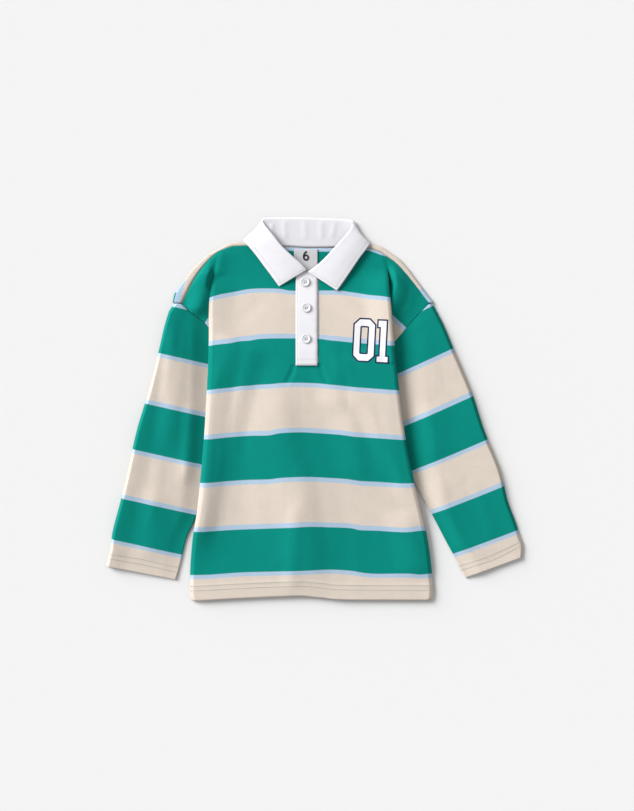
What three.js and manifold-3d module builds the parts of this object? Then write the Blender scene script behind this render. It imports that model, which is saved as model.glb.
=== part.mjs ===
// A child's long-sleeved striped rugby shirt, laid out flat on its back with the sleeves at its sides.
// Millimetres, +Z up. +X is the viewer's right, +Y runs from the hem to the collar.
// Each cut piece is a closed wall of cloth. The body lies on top of the inner part of both sleeves.

import * as THREE from 'three';
import { mergeVertices } from 'three/addons/utils/BufferGeometryUtils.js';
import Module from 'manifold-3d';

const wasm = await Module();
wasm.setup();

// Driving sizes of the cloth

const JERSEY = 1.2;
const COLLAR_WALL = 1.4;
const LABEL_WALL = 0.9;
const SEAM_GAP = 0.3;
const TURN_EXTRA = 0.6;
const HEM_DEPTH = 20.5;
const SLEEVE_LIFT = 3.2;
const LIFT_HOLD = 12;
const LIFT_RAMP = 44;
const LIFT_FADE = 24;
const SLEEVE_LEAVES = { left: [-212, -160], right: [-170, -114] };
const SHOULDER_TOP = 3.8;
const NECK_SPACE = 1.8;
const BODY_SPACE = 2.2;
const EDGE_SPACE = 0.45;
const EDGE_ROUND = 16;
const NECK_RAMP = [120, 200];
const SHOULDER_RAMP = [170, 215];
const SLEEVE_ROUND = 24;
const BODY_ROUND = 26;
const SEAM_PUFF = 1.2;

// Driving sizes of the placket, the buttons and the neck label

const PLACKET = { left: -27.2, right: 3.4, top: 190.6, bottom: 62, wall: 1.4 };
const PLACKET_SLIT = { left: -23.3, right: 5.0, top: 200, bottom: 66 };
const BUTTON = {
  diameter: 13.2, height: 2.6, rim: 1.5, rimSlope: 0.7, well: 0.8, foot: 0.8, footHeight: 0.9, bevel: 0.6,
  bevelHeight: 0.5, dish: 0.1, holes: 4, holeRadius: 0.95, holeCircle: 1.9, sides: 20, holeSides: 6, seat: 8,
};
const BUTTON_PLACES = [
  { x: -14.2, y: 180.6 },
  { x: -12.4, y: 144.1 },
  { x: -12.8, y: 100.1 },
];
const LABEL = { left: -29.8, right: 3.8, top: 227.6, bottom: 186 };

// Outlines, seen from above. Each row is one place along an edge.

const BODY_EDGES = [
  { y: -273, left: -174.0, right: 163.0 },
  { y: -266, left: -177.0, right: 167.0 },
  { y: -228, left: -177.0, right: 165.4 },
  { y: -185, left: -173.6, right: 159.8 },
  { y: -143, left: -166.7, right: 150.5 },
  { y: -100, left: -162.2, right: 139.9 },
  { y: -43, left: -157.2, right: 128.5 },
  { y: 13.5, left: -153.6, right: 120.7 },
  { y: 91.6, left: -150.5, right: 112.8 },
  { y: 155.5, left: -149.8, right: 107.6 },
  { y: 192.4, left: -144.1, right: 104.6 },
  { y: 201, left: -142.0, right: 103.7 },
  { y: 224.5, left: -137.0, right: 100.0 },
];

const HEM_LINE = [
  { across: 0.0, y: -271.0 },
  { across: 0.05, y: -270.5 },
  { across: 0.17, y: -268.1 },
  { across: 0.38, y: -264.8 },
  { across: 0.45, y: -264.0 },
  { across: 0.55, y: -266.8 },
  { across: 0.72, y: -269.7 },
  { across: 1.0, y: -270.0 },
];

// The seam along the top of the front panel: shoulder, neckline, shoulder

const FRONT_TOP = [
  { x: -137.0, y: 224.5 },
  { x: -117.0, y: 231.5 },
  { x: -97.0, y: 232.2 },
  { x: -88.0, y: 229.5 },
  { x: -75.3, y: 212.3 },
  { x: -56.8, y: 199.5 },
  { x: -27.0, y: 192.2 },
  { x: 3.0, y: 192.2 },
  { x: 31.2, y: 199.5 },
  { x: 49.7, y: 213.7 },
  { x: 60.0, y: 229.0 },
  { x: 76.7, y: 228.6 },
  { x: 93.7, y: 222.2 },
  { x: 100.0, y: 218.0 },
];

// The shoulder seam from the fold of the armhole pleat to the sleeve, and the armhole seam back to the body

const LEFT_SHOULDER = [
  { x: -137.0, y: 224.5 },
  { x: -150.5, y: 212.3 },
  { x: -169.4, y: 187.7 },
  { x: -180.9, y: 165.9 },
  { x: -188.9, y: 149.4 },
];
const RIGHT_SHOULDER = [
  { x: 100.0, y: 218.0 },
  { x: 116.0, y: 206.6 },
  { x: 130.6, y: 190.6 },
  { x: 144.8, y: 173.1 },
  { x: 161.0, y: 151.4 },
];
const LEFT_ARMHOLE = [
  { x: -200.2, y: 150.7 },
  { x: -188.9, y: 149.0 },
  { x: -178.0, y: 138.5 },
  { x: -157.6, y: 124.3 },
  { x: -150.5, y: 115.7 },
  { x: -132.1, y: 99.4 },
  { x: -106.5, y: 81.6 },
];
const RIGHT_ARMHOLE = [
  { x: 166.7, y: 150.7 },
  { x: 161.0, y: 149.2 },
  { x: 147.7, y: 135.6 },
  { x: 132.1, y: 118.1 },
  { x: 112.9, y: 96.0 },
  { x: 89.0, y: 76.0 },
  { x: 61.1, y: 61.8 },
];

// The outer edge of the shoulders, where the back panel folds over to the front

const BACK_TOP = [
  { x: -200.2, y: 151.2, fold: 1 },
  { x: -198.0, y: 163.0, fold: 1 },
  { x: -187.4, y: 177.5, fold: 1 },
  { x: -171.8, y: 199.0, fold: 1 },
  { x: -150.5, y: 219.0, fold: 1 },
  { x: -119.3, y: 235.4, fold: 1 },
  { x: -89.5, y: 236.0, fold: 1 },
  { x: -86.5, y: 230.3, fold: 0 },
  { x: -47.6, y: 230.6, fold: 0 },
  { x: -11.8, y: 228.8, fold: 0 },
  { x: 27.4, y: 228.8, fold: 0 },
  { x: 58.5, y: 229.6, fold: 0 },
  { x: 61.6, y: 234.6, fold: 1 },
  { x: 76.7, y: 234.4, fold: 1 },
  { x: 93.7, y: 229.3, fold: 1 },
  { x: 117.9, y: 212.3, fold: 1 },
  { x: 130.6, y: 198.1, fold: 1 },
  { x: 144.8, y: 178.9, fold: 1 },
  { x: 159.0, y: 160.2, fold: 1 },
  { x: 166.7, y: 151.2, fold: 1 },
];

// Sleeve sections from below the armhole to the cuff: the outer edge, the edge next to the body, and the
// height that the hollow cloth stands proud of lying flat.

const LEFT_SLEEVE = [
  { outerX: -207.5, outerY: 139.0, innerX: -109.5, innerY: 66.0, puff: 2.0 },
  { outerX: -213.5, outerY: 119.0, innerX: -113.5, innerY: 52.0, puff: 2.4 },
  { outerX: -221.5, outerY: 84.5, innerX: -121.0, innerY: 28.0, puff: 2.4 },
  { outerX: -235.7, outerY: 27.7, innerX: -134.5, innerY: -18.0, puff: 2.4 },
  { outerX: -252.8, outerY: -29.1, innerX: -147.5, innerY: -70.0, puff: 2.6 },
  { outerX: -265.5, outerY: -85.9, innerX: -159.0, innerY: -116.0, puff: 2.6 },
  { outerX: -276.0, outerY: -130.0, innerX: -168.6, innerY: -152.0, puff: 2.4 },
  { outerX: -286.8, outerY: -171.1, innerX: -182.0, innerY: -181.0, puff: 2.2 },
  { outerX: -291.4, outerY: -201.0, innerX: -190.0, innerY: -214.0, puff: 1.8 },
  { outerX: -292.8, outerY: -206.0, innerX: -192.2, innerY: -222.5, puff: 1.6 },
  { outerX: -296.8, outerY: -221.8, innerX: -197.2, innerY: -241.5, puff: 1.6 },
];
const RIGHT_SLEEVE = [
  { outerX: 172.5, outerY: 139.5, innerX: 64.0, innerY: 50.0, puff: 2.0 },
  { outerX: 183.0, outerY: 119.0, innerX: 69.5, innerY: 40.0, puff: 2.4 },
  { outerX: 197.4, outerY: 84.5, innerX: 81.0, innerY: 18.0, puff: 2.4 },
  { outerX: 221.5, outerY: 27.7, innerX: 103.5, innerY: -24.0, puff: 2.6 },
  { outerX: 240.0, outerY: -29.1, innerX: 124.0, innerY: -66.0, puff: 2.8 },
  { outerX: 263.0, outerY: -85.9, innerX: 144.0, innerY: -110.0, puff: 2.8 },
  { outerX: 273.0, outerY: -128.0, innerX: 165.0, innerY: -147.0, puff: 2.6 },
  { outerX: 284.0, outerY: -158.0, innerX: 186.0, innerY: -187.0, puff: 2.4 },
  { outerX: 292.6, outerY: -184.0, innerX: 202.5, innerY: -217.5, puff: 2.0 },
  { outerX: 295.4, outerY: -192.0, innerX: 205.5, innerY: -224.0, puff: 1.8 },
  { outerX: 294.8, outerY: -209.0, innerX: 213.6, innerY: -238.6, puff: 1.6 },
];

// Soft folds pressed into the front panel: a line from one end to the other, half width and height

const FRONT_FOLDS = [
  { x0: -113, y0: 99, x1: -152, y1: -214, half: 15, height: -1.6 },
  { x0: -135, y0: 60, x1: -166, y1: -190, half: 13, height: 1.1 },
  { x0: -84, y0: 90, x1: -118, y1: -200, half: 20, height: 0.8 },
  { x0: -36, y0: 20, x1: -4, y1: -110, half: 14, height: -1.3 },
  { x0: -4, y0: -100, x1: -22, y1: -262, half: 11, height: -1.2 },
  { x0: 0, y0: -110, x1: 17, y1: -262, half: 13, height: -1.4 },
  { x0: 26, y0: 92, x1: 43, y1: 4, half: 15, height: -0.9 },
  { x0: 66, y0: 10, x1: 84, y1: -120, half: 18, height: -0.9 },
  { x0: 122, y0: -150, x1: 158, y1: -212, half: 16, height: -1.2 },
  { x0: -131, y0: 210, x1: -131, y1: 170, half: 9, height: -0.9 },
  { x0: 88, y0: 196, x1: 92, y1: 140, half: 11, height: 0.9 },
];

// Folds of the sleeves, in fractions: across from the outer edge, and along from armhole to cuff

const SLEEVE_FOLDS = {
  sleeve_left: [
    { across0: 0.42, along0: 0.12, across1: 0.6, along1: 0.42, half: 0.09, height: -1.3 },
    { across0: 0.15, along0: 0.48, across1: 0.1, along1: 0.66, half: 0.1, height: -1.1 },
    { across0: 0.66, along0: 0.4, across1: 0.6, along1: 0.62, half: 0.09, height: -1.1 },
  ],
  sleeve_right: [
    { across0: 0.3, along0: 0.38, across1: 0.5, along1: 0.55, half: 0.09, height: -0.9 },
    { across0: 0.38, along0: 0.6, across1: 0.42, along1: 0.82, half: 0.1, height: -1.0 },
    { across0: 0.2, along0: 0.2, across1: 0.3, along1: 0.34, half: 0.1, height: -0.8 },
  ],
};

// The collar, from the left front edge round the back of the neck to the right front edge. The neck line is
// sewn to the body, the crease is where the cloth turns over, and the outer line is the free edge. The turn
// is 0 where the fall lies over the stand and 180 where it lies under it.

const COLLAR_LINES = [
  { neck: [-14.5, 194.2, 4.4], crease: [-12.2, 197.6, 8.4], outer: [-50.8, 174.2, 6.2], turn: 0 },
  { neck: [-27.0, 194.2, 4.2], crease: [-19.5, 205.6, 9.8], outer: [-58.6, 185.0, 6.4], turn: 0 },
  { neck: [-55.4, 202.0, 4.2], crease: [-33.0, 217.5, 10.6], outer: [-72.0, 203.0, 6.4], turn: 0 },
  { neck: [-73.2, 214.4, 4.2], crease: [-47.5, 231.4, 10.8], outer: [-85.0, 220.4, 6.6], turn: 6 },
  { neck: [-81.4, 224.0, 4.0], crease: [-58.5, 245.6, 10.4], outer: [-96.0, 233.6, 6.4], turn: 24 },
  { neck: [-83.6, 231.4, 2.6], crease: [-71.0, 261.5, 8.0], outer: [-101.6, 240.8, 4.0], turn: 72 },
  { neck: [-76.0, 232.2, 1.3], crease: [-74.0, 269.6, 4.8], outer: [-88.0, 243.0, 1.2], turn: 140 },
  { neck: [-62.0, 232.0, 0.9], crease: [-62.0, 271.6, 3.0], outer: [-64.0, 238.6, 0.95], turn: 180 },
  { neck: [-36.0, 231.6, 0.9], crease: [-36.0, 272.0, 2.9], outer: [-37.0, 238.0, 0.95], turn: 180 },
  { neck: [-10.0, 230.4, 0.9], crease: [-10.0, 271.6, 2.9], outer: [-10.0, 237.6, 0.95], turn: 180 },
  { neck: [18.0, 230.4, 0.9], crease: [18.0, 270.4, 2.9], outer: [18.0, 237.0, 0.95], turn: 180 },
  { neck: [40.0, 231.0, 0.9], crease: [42.0, 269.2, 3.0], outer: [42.0, 237.0, 0.95], turn: 180 },
  { neck: [51.0, 231.4, 1.3], crease: [54.6, 266.6, 4.8], outer: [66.0, 239.6, 1.2], turn: 140 },
  { neck: [56.6, 230.6, 2.6], crease: [50.6, 255.6, 8.0], outer: [77.4, 235.6, 4.0], turn: 72 },
  { neck: [54.0, 224.4, 4.0], crease: [38.6, 240.6, 10.4], outer: [73.6, 228.4, 6.4], turn: 24 },
  { neck: [47.4, 215.6, 4.2], crease: [27.0, 227.8, 10.8], outer: [64.0, 215.6, 6.6], turn: 6 },
  { neck: [29.6, 202.0, 4.2], crease: [13.0, 212.6, 10.6], outer: [53.0, 199.4, 6.4], turn: 0 },
  { neck: [4.6, 194.8, 4.2], crease: [-1.6, 200.0, 9.6], outer: [39.6, 179.6, 6.4], turn: 0 },
  { neck: [-8.0, 194.2, 4.4], crease: [-9.6, 194.6, 8.2], outer: [31.2, 168.0, 6.2], turn: 0 },
];
const CREASE_RADIUS = 1.5;
const COLLAR_STATIONS = 40;

// Colours and finishes

const FINISH = {
  jersey: { color: 0x068579, roughness: 0.85 },
  beige: { color: 0xe0d5cb, roughness: 0.85 },
  twill: { color: 0xf0eff3, roughness: 0.75 },
  satin: { color: 0xb4b2b4, roughness: 0.5 },
  button: { color: 0xf2f2f4, roughness: 0.3 },
};

// Small maths

const clamp = (value, low, high) => Math.min(high, Math.max(low, value));
const mix = (a, b, t) => a + (b - a) * t;

function smooth(from, to, value) {
  const t = clamp((value - from) / (to - from), 0, 1);
  return t * t * (3 - 2 * t);
}

function lookUp(rows, key, value, column) {
  const rising = rows[rows.length - 1][key] > rows[0][key];
  const at = (row) => (rising ? row[key] : -row[key]);
  const want = clamp(rising ? value : -value, at(rows[0]), at(rows[rows.length - 1]));
  let index = 1;
  while (index < rows.length - 1 && at(rows[index]) < want) index += 1;
  const low = rows[index - 1];
  const high = rows[index];
  return mix(low[column], high[column], (want - at(low)) / (at(high) - at(low)));
}

// A point part of the way along a table of places, by the length of the line through them

function along(rows, fraction, columns = ['x', 'y']) {
  const lengths = [0];
  for (let i = 1; i < rows.length; i += 1) {
    lengths.push(lengths[i - 1] + Math.hypot(rows[i].x - rows[i - 1].x, rows[i].y - rows[i - 1].y));
  }
  const want = clamp(fraction, 0, 1) * lengths[lengths.length - 1];
  let i = 1;
  while (i < rows.length - 1 && lengths[i] < want) i += 1;
  const t = (want - lengths[i - 1]) / (lengths[i] - lengths[i - 1]);
  return columns.map((column) => mix(rows[i - 1][column], rows[i][column], t));
}

// The distance from a straight line's middle, as 1 on the line and 0 at its half width and at its ends

function foldShape(fold, x, y) {
  const dx = fold.x1 - fold.x0;
  const dy = fold.y1 - fold.y0;
  const t = ((x - fold.x0) * dx + (y - fold.y0) * dy) / (dx * dx + dy * dy);
  const away = Math.abs((x - fold.x0) * dy - (y - fold.y0) * dx) / Math.hypot(dx, dy);
  const ends = smooth(-0.12, 0.2, t) * smooth(1.12, 0.8, t);
  return ends * smooth(fold.half, 0, away);
}

// A closed wall from patches of point pairs, one point on each face of the cloth. Patches that share a
// column of points join there, and a free edge gets a narrow side wall.

function clothWall(patches) {
  const positions = [];
  const indexOf = new Map();
  const vertexPair = (pair) => {
    const key = [...pair.face, ...pair.lining].map((value) => value.toFixed(3)).join();
    if (!indexOf.has(key)) {
      indexOf.set(key, positions.length / 3);
      positions.push(...pair.face, ...pair.lining);
    }
    return indexOf.get(key);
  };
  const triangles = [];
  const edges = new Map();
  const addTriangle = (a, b, c) => {
    if (a === b || b === c || c === a) return;
    triangles.push(a, b, c);
    triangles.push(a + 1, c + 1, b + 1);
    for (const [from, to] of [[a, b], [b, c], [c, a]]) {
      if (edges.has(`${to},${from}`)) edges.delete(`${to},${from}`);
      else edges.set(`${from},${to}`, [from, to]);
    }
  };
  for (const patch of patches) {
    const indices = patch.map((row) => row.map(vertexPair));
    for (let j = 0; j + 1 < indices.length; j += 1) {
      for (let i = 0; i + 1 < indices[j].length; i += 1) {
        const corner = indices[j][i];
        const across = indices[j][i + 1];
        const up = indices[j + 1][i];
        const opposite = indices[j + 1][i + 1];
        addTriangle(corner, across, opposite);
        addTriangle(corner, opposite, up);
      }
    }
  }
  for (const [from, to] of edges.values()) {
    triangles.push(from, to + 1, to);
    triangles.push(from, from + 1, to + 1);
  }
  const geometry = new THREE.BufferGeometry();
  geometry.setAttribute('position', new THREE.Float32BufferAttribute(positions, 3));
  geometry.setIndex(triangles);
  return geometry;
}

function toSolid(geometry) {
  const bare = geometry.clone();
  bare.deleteAttribute('normal');
  bare.deleteAttribute('uv');
  const merged = mergeVertices(bare, 1e-5);
  return new wasm.Manifold(new wasm.Mesh({
    numProp: 3,
    vertProperties: new Float32Array(merged.attributes.position.array),
    triVerts: new Uint32Array(merged.index.array),
  }));
}

function toGeometry(solid) {
  const mesh = solid.getMesh();
  const geometry = new THREE.BufferGeometry();
  geometry.setAttribute('position', new THREE.Float32BufferAttribute(mesh.vertProperties, 3));
  geometry.setIndex(Array.from(mesh.triVerts));
  return geometry;
}

// An upright block with the given outline, used to trim a wall to a seam

const BLOCK_HEIGHT = 60;

function uprightBlock(places) {
  const shape = new THREE.Shape(places.map((place) => new THREE.Vector2(place.x, place.y)));
  const block = new THREE.ExtrudeGeometry(shape, { depth: BLOCK_HEIGHT, bevelEnabled: false });
  return toSolid(block.translate(0, 0, -BLOCK_HEIGHT / 2));
}

const group = new THREE.Group();

function addPiece(name, geometry, finish) {
  const material = new THREE.MeshStandardMaterial({ ...finish, metalness: 0 });
  geometry.computeVertexNormals();
  const mesh = new THREE.Mesh(geometry, material);
  mesh.name = name;
  group.add(mesh);
}

// Heights of the layers

const bodyLeft = (y) => lookUp(BODY_EDGES, 'y', y, 'left');
const bodyRight = (y) => lookUp(BODY_EDGES, 'y', y, 'right');

const ARMHOLE_ROW = [...LEFT_ARMHOLE.slice(4), ...RIGHT_ARMHOLE.slice(4).reverse()];
const LEFT_INNER = [{ outerX: 0, outerY: 0, innerX: -106.5, innerY: 81.6 }, ...LEFT_SLEEVE];
const RIGHT_INNER = [{ outerX: 0, outerY: 0, innerX: 61.1, innerY: 61.8 }, ...RIGHT_SLEEVE];

// 1 where a sleeve lies under the body, falling to 0 towards the middle of the body

function overSleeve(x, y) {
  const left = smooth(LIFT_RAMP, LIFT_HOLD, x - lookUp(LEFT_INNER, 'innerY', y, 'innerX'));
  const right = smooth(LIFT_RAMP, LIFT_HOLD, lookUp(RIGHT_INNER, 'innerY', y, 'innerX') - x);
  return Math.max(left * smooth(...SLEEVE_LEAVES.left, y), right * smooth(...SLEEVE_LEAVES.right, y));
}

const ON_SEAM = 0.01;

function backHeight(x, y) {
  const above = y - lookUp(ARMHOLE_ROW, 'x', x, 'y');
  if (above <= ON_SEAM) return SLEEVE_LIFT * overSleeve(x, y);
  const inward = Math.min(
    smooth(LEFT_ARMHOLE[5].x, LEFT_ARMHOLE[6].x, x),
    smooth(RIGHT_ARMHOLE[5].x, RIGHT_ARMHOLE[6].x, x),
  );
  return SLEEVE_LIFT * overSleeve(x, y - above) * inward * smooth(LIFT_FADE, 0, above);
}

// The front panel's underside. Inboard of the pleat at the armhole it stays high enough to pass over it.

const PLEAT = {
  apexLeft: 192.4, apexRight: 201, lowLeft: 86, lowRight: 66, rise: 2.9, reach: 42, ramp: 16,
};

function pleatRise(x, y) {
  const { apexLeft, apexRight, reach, ramp } = PLEAT;
  const left = smooth(apexLeft, apexLeft - ramp, y) * smooth(reach, 0, x - bodyLeft(y));
  const right = smooth(apexRight, apexRight - ramp, y) * smooth(reach, 0, bodyRight(y) - x);
  const nearLeft = y > PLEAT.lowLeft ? left : 0;
  const nearRight = y > PLEAT.lowRight ? right : 0;
  return PLEAT.rise * Math.max(nearLeft, nearRight);
}

function frontHeight(x, y) {
  const above = y - lookUp(ARMHOLE_ROW, 'x', x, 'y');
  const lift = SLEEVE_LIFT * overSleeve(x, Math.min(y, y - above)) * smooth(LIFT_FADE, 0, above);
  const raised = Math.max(lift, pleatRise(x, y));
  const fromSide = Math.min(x - bodyLeft(y), bodyRight(y) - x);
  const space = mix(BODY_SPACE, NECK_SPACE, smooth(...NECK_RAMP, y));
  const side = smooth(0, EDGE_ROUND, fromSide);
  let folds = 0;
  for (const fold of FRONT_FOLDS) folds += fold.height * foldShape(fold, x, y);
  const puff = Math.max(0, space * side + folds * side);
  const fromHem = y - lookUp(HEM_LINE, 'across', (x - bodyLeft(y)) / (bodyRight(y) - bodyLeft(y)), 'y');
  const hem = TURN_EXTRA * smooth(2 * HEM_DEPTH, HEM_DEPTH, fromHem);
  const shoulder = smooth(...SHOULDER_RAMP, y) * (SHOULDER_TOP - 2 * JERSEY - EDGE_SPACE) * (1 - side);
  return JERSEY + EDGE_SPACE + raised + puff + hem + shoulder;
}

const flatPair = (x, y, low, wall = JERSEY) => ({ face: [x, y, low + wall], lining: [x, y, low] });

// Blocks that reach from the armhole seam into the sleeve, and from the seam into the body

const TRIM = { beyond: 30, inside: 40, below: 60, top: 240 };

function sleeveSide(armhole, sign) {
  const seam = armhole.slice(1, 5).map((place) => ({ x: place.x, y: place.y + SEAM_GAP / 2 }));
  const edge = { x: armhole[4].x + sign * SEAM_GAP, y: armhole[4].y - TRIM.below };
  const start = { x: armhole[0].x + sign * TRIM.beyond, y: armhole[1].y + SEAM_GAP / 2 };
  seam[3] = { x: armhole[4].x + sign * SEAM_GAP, y: armhole[4].y + SEAM_GAP / 2 };
  return uprightBlock([start, ...seam, edge, { x: start.x, y: edge.y }]);
}

function bodySide(armhole, sign) {
  const seam = armhole.map((place) => ({ x: place.x, y: place.y - SEAM_GAP / 2 }));
  const last = seam[seam.length - 1];
  const start = { x: armhole[0].x + sign * TRIM.beyond, y: armhole[0].y - SEAM_GAP / 2 };
  const inside = last.x - sign * TRIM.inside;
  return uprightBlock([
    start, ...seam, { x: inside, y: last.y }, { x: inside, y: TRIM.top }, { x: start.x, y: TRIM.top },
  ]);
}

// The front panel: the main part from the hem to the shoulder and neck, and the two outer parts between
// the pleat and the armhole seam, whose inner edges are tucked under the main part.

const FRONT_COLUMNS = [0, 0.014, 0.04, 0.075, 0.12, 0.165, 0.21, 0.26, 0.31, 0.36, 0.41, 0.46, 0.5,
  0.54, 0.59, 0.64, 0.69, 0.74, 0.79, 0.84, 0.885, 0.925, 0.96, 0.986, 1];
const FRONT_ROWS = [0, 0.041, 0.0425, 0.085, 0.13, 0.18, 0.23, 0.28, 0.33, 0.38, 0.43, 0.48, 0.53, 0.58,
  0.63, 0.68, 0.725, 0.77, 0.81, 0.85, 0.885, 0.91, 0.936, 0.963, 1];
const HEM_ROWS = 2;
const LEFT_APEX_ROW = 22;
const RIGHT_APEX_ROW = 23;

function frontMain() {
  return FRONT_ROWS.map((v, j) => FRONT_COLUMNS.map((u, i) => {
    const hemY = lookUp(HEM_LINE, 'across', u, 'y');
    const [topX, topY] = along(FRONT_TOP, u);
    let y = mix(hemY, topY, v);
    if (i === 0 && j === LEFT_APEX_ROW) y = PLEAT.apexLeft;
    if (i === FRONT_COLUMNS.length - 1 && j === RIGHT_APEX_ROW) y = PLEAT.apexRight;
    const left = bodyLeft(y);
    const right = bodyRight(y);
    const topShare = (topX - bodyLeft(topY)) / (bodyRight(topY) - bodyLeft(topY));
    const share = mix(u, topShare, smooth(0.55, 1, v));
    const x = v === 1 ? topX : mix(left, right, share);
    const turned = j < HEM_ROWS ? TURN_EXTRA : 0;
    return flatPair(x, y, frontHeight(x, y), JERSEY + turned);
  }));
}

// The tuck: how far below the pleat's end, how far under the main part, and the height of its underside

const TUCK = [
  { drop: 1.0, under: 12, height: 1.55 },
  { drop: 0.78, under: 12, height: 1.55 },
  { drop: 0.56, under: 11, height: 1.6 },
  { drop: 0.36, under: 7, height: 1.7 },
  { drop: 0.19, under: -0.45, height: 1.85 },
];
const TUCK_SLANT = 0.72;
const WING_STEPS = 7;
const WING_RAMP = 0.6;

function frontWing(main, shoulder, armhole, edgeAt, apexRow, apexY, sign) {
  const edgeColumn = sign < 0 ? 0 : FRONT_COLUMNS.length - 1;
  const crossing = armhole[4];
  const inner = TUCK.map((row) => {
    const y = mix(apexY, crossing.y, row.drop);
    const x = edgeAt(y) - sign * row.under;
    const low = row.drop === 1 ? y - row.under * TUCK_SLANT : y;
    return { x, y: low, z: row.height };
  });
  for (let j = apexRow; j < FRONT_ROWS.length; j += 1) {
    const [x, y, z] = main[j][edgeColumn].lining;
    inner.push({ x, y, z });
  }
  const seam = armhole.slice(1, 5).reverse();
  const lowEdge = [inner[0], ...seam].map((place) => ({ ...place, y: place.y + SEAM_GAP }));
  const cap = { x: shoulder[4].x, y: shoulder[4].y + SEAM_GAP, z: SHOULDER_TOP - JERSEY };
  lowEdge[0].y = inner[0].y;
  lowEdge[lowEdge.length - 1] = cap;
  const rows = inner.length;
  const patch = [];
  for (let j = 0; j < rows; j += 1) {
    const v = j / (rows - 1);
    const line = [];
    for (let i = 0; i <= WING_STEPS; i += 1) {
      const u = i / WING_STEPS;
      if (i === 0) {
        line.push(flatPair(inner[j].x, inner[j].y, inner[j].z));
      } else {
        const [bottomX, bottomY] = along(lowEdge, u);
        const [topX, topY] = along([...shoulder.slice(0, 4), cap], u);
        const startX = mix(inner[0].x, inner[rows - 1].x, v);
        const startY = mix(inner[0].y, inner[rows - 1].y, v);
        const x = mix(bottomX, topX, v) + (1 - u) * (inner[j].x - startX);
        const y = mix(bottomY, topY, v) + (1 - u) * (inner[j].y - startY);
        const z = mix(inner[j].z, cap.z, smooth(0, WING_RAMP, u));
        line.push(flatPair(x, y, z));
      }
    }
    patch.push(sign < 0 ? line.reverse() : line);
  }
  return patch;
}

function frontPanel(strips) {
  const main = frontMain();
  const left = frontWing(main, LEFT_SHOULDER, LEFT_ARMHOLE, bodyLeft, LEFT_APEX_ROW, PLEAT.apexLeft, -1);
  const right = frontWing(main, RIGHT_SHOULDER, RIGHT_ARMHOLE, bodyRight, RIGHT_APEX_ROW, PLEAT.apexRight, 1);
  const slit = new THREE.BoxGeometry(
    PLACKET_SLIT.right - PLACKET_SLIT.left,
    PLACKET_SLIT.top - PLACKET_SLIT.bottom,
    BLOCK_HEIGHT,
  );
  slit.translate(
    (PLACKET_SLIT.left + PLACKET_SLIT.right) / 2,
    (PLACKET_SLIT.top + PLACKET_SLIT.bottom) / 2,
    0,
  );
  let panel = toSolid(clothWall([main, left, right])).subtract(toSolid(slit));
  panel = panel.subtract(sleeveSide(LEFT_ARMHOLE, -1)).subtract(sleeveSide(RIGHT_ARMHOLE, 1));
  for (const strip of [strips.left, strips.right]) panel = panel.subtract(toSolid(shoulderTrim(strip)));
  return toGeometry(panel);
}

// The back panel: flat on the ground, over the sleeves at its sides, and folded over at the shoulders

const BACK_ACROSS = [0, 0.14, 0.32, 0.54, 0.77, 1];
const BACK_MIDDLE = [0.1, 0.24, 0.38, 0.5, 0.62, 0.76, 0.9];
const BACK_ROWS = [0, 0.041, 0.0425, 0.09, 0.13, 0.165, 0.2, 0.235, 0.27, 0.31, 0.36, 0.41, 0.47, 0.56,
  0.68, 0.8, 0.9, 1];
const UPPER_ROWS = [0, 0.12, 0.3, 0.55, 0.8, 1];
const FOLD_ANGLES = [-60, -20, 20, 60, 90];
const WING_COLUMNS = 4;
const FOLD_MARK = 0.99;

function armholePlaces() {
  const left = LEFT_ARMHOLE.slice(4);
  const right = RIGHT_ARMHOLE.slice(4);
  const places = [];
  for (const u of BACK_ACROSS) places.push(along(left, u));
  for (const u of BACK_MIDDLE) {
    const last = left[left.length - 1];
    const first = right[right.length - 1];
    places.push([mix(last.x, first.x, u), mix(last.y, first.y, u)]);
  }
  for (const u of [...BACK_ACROSS].reverse()) places.push(along(right, u));
  return places;
}

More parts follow.
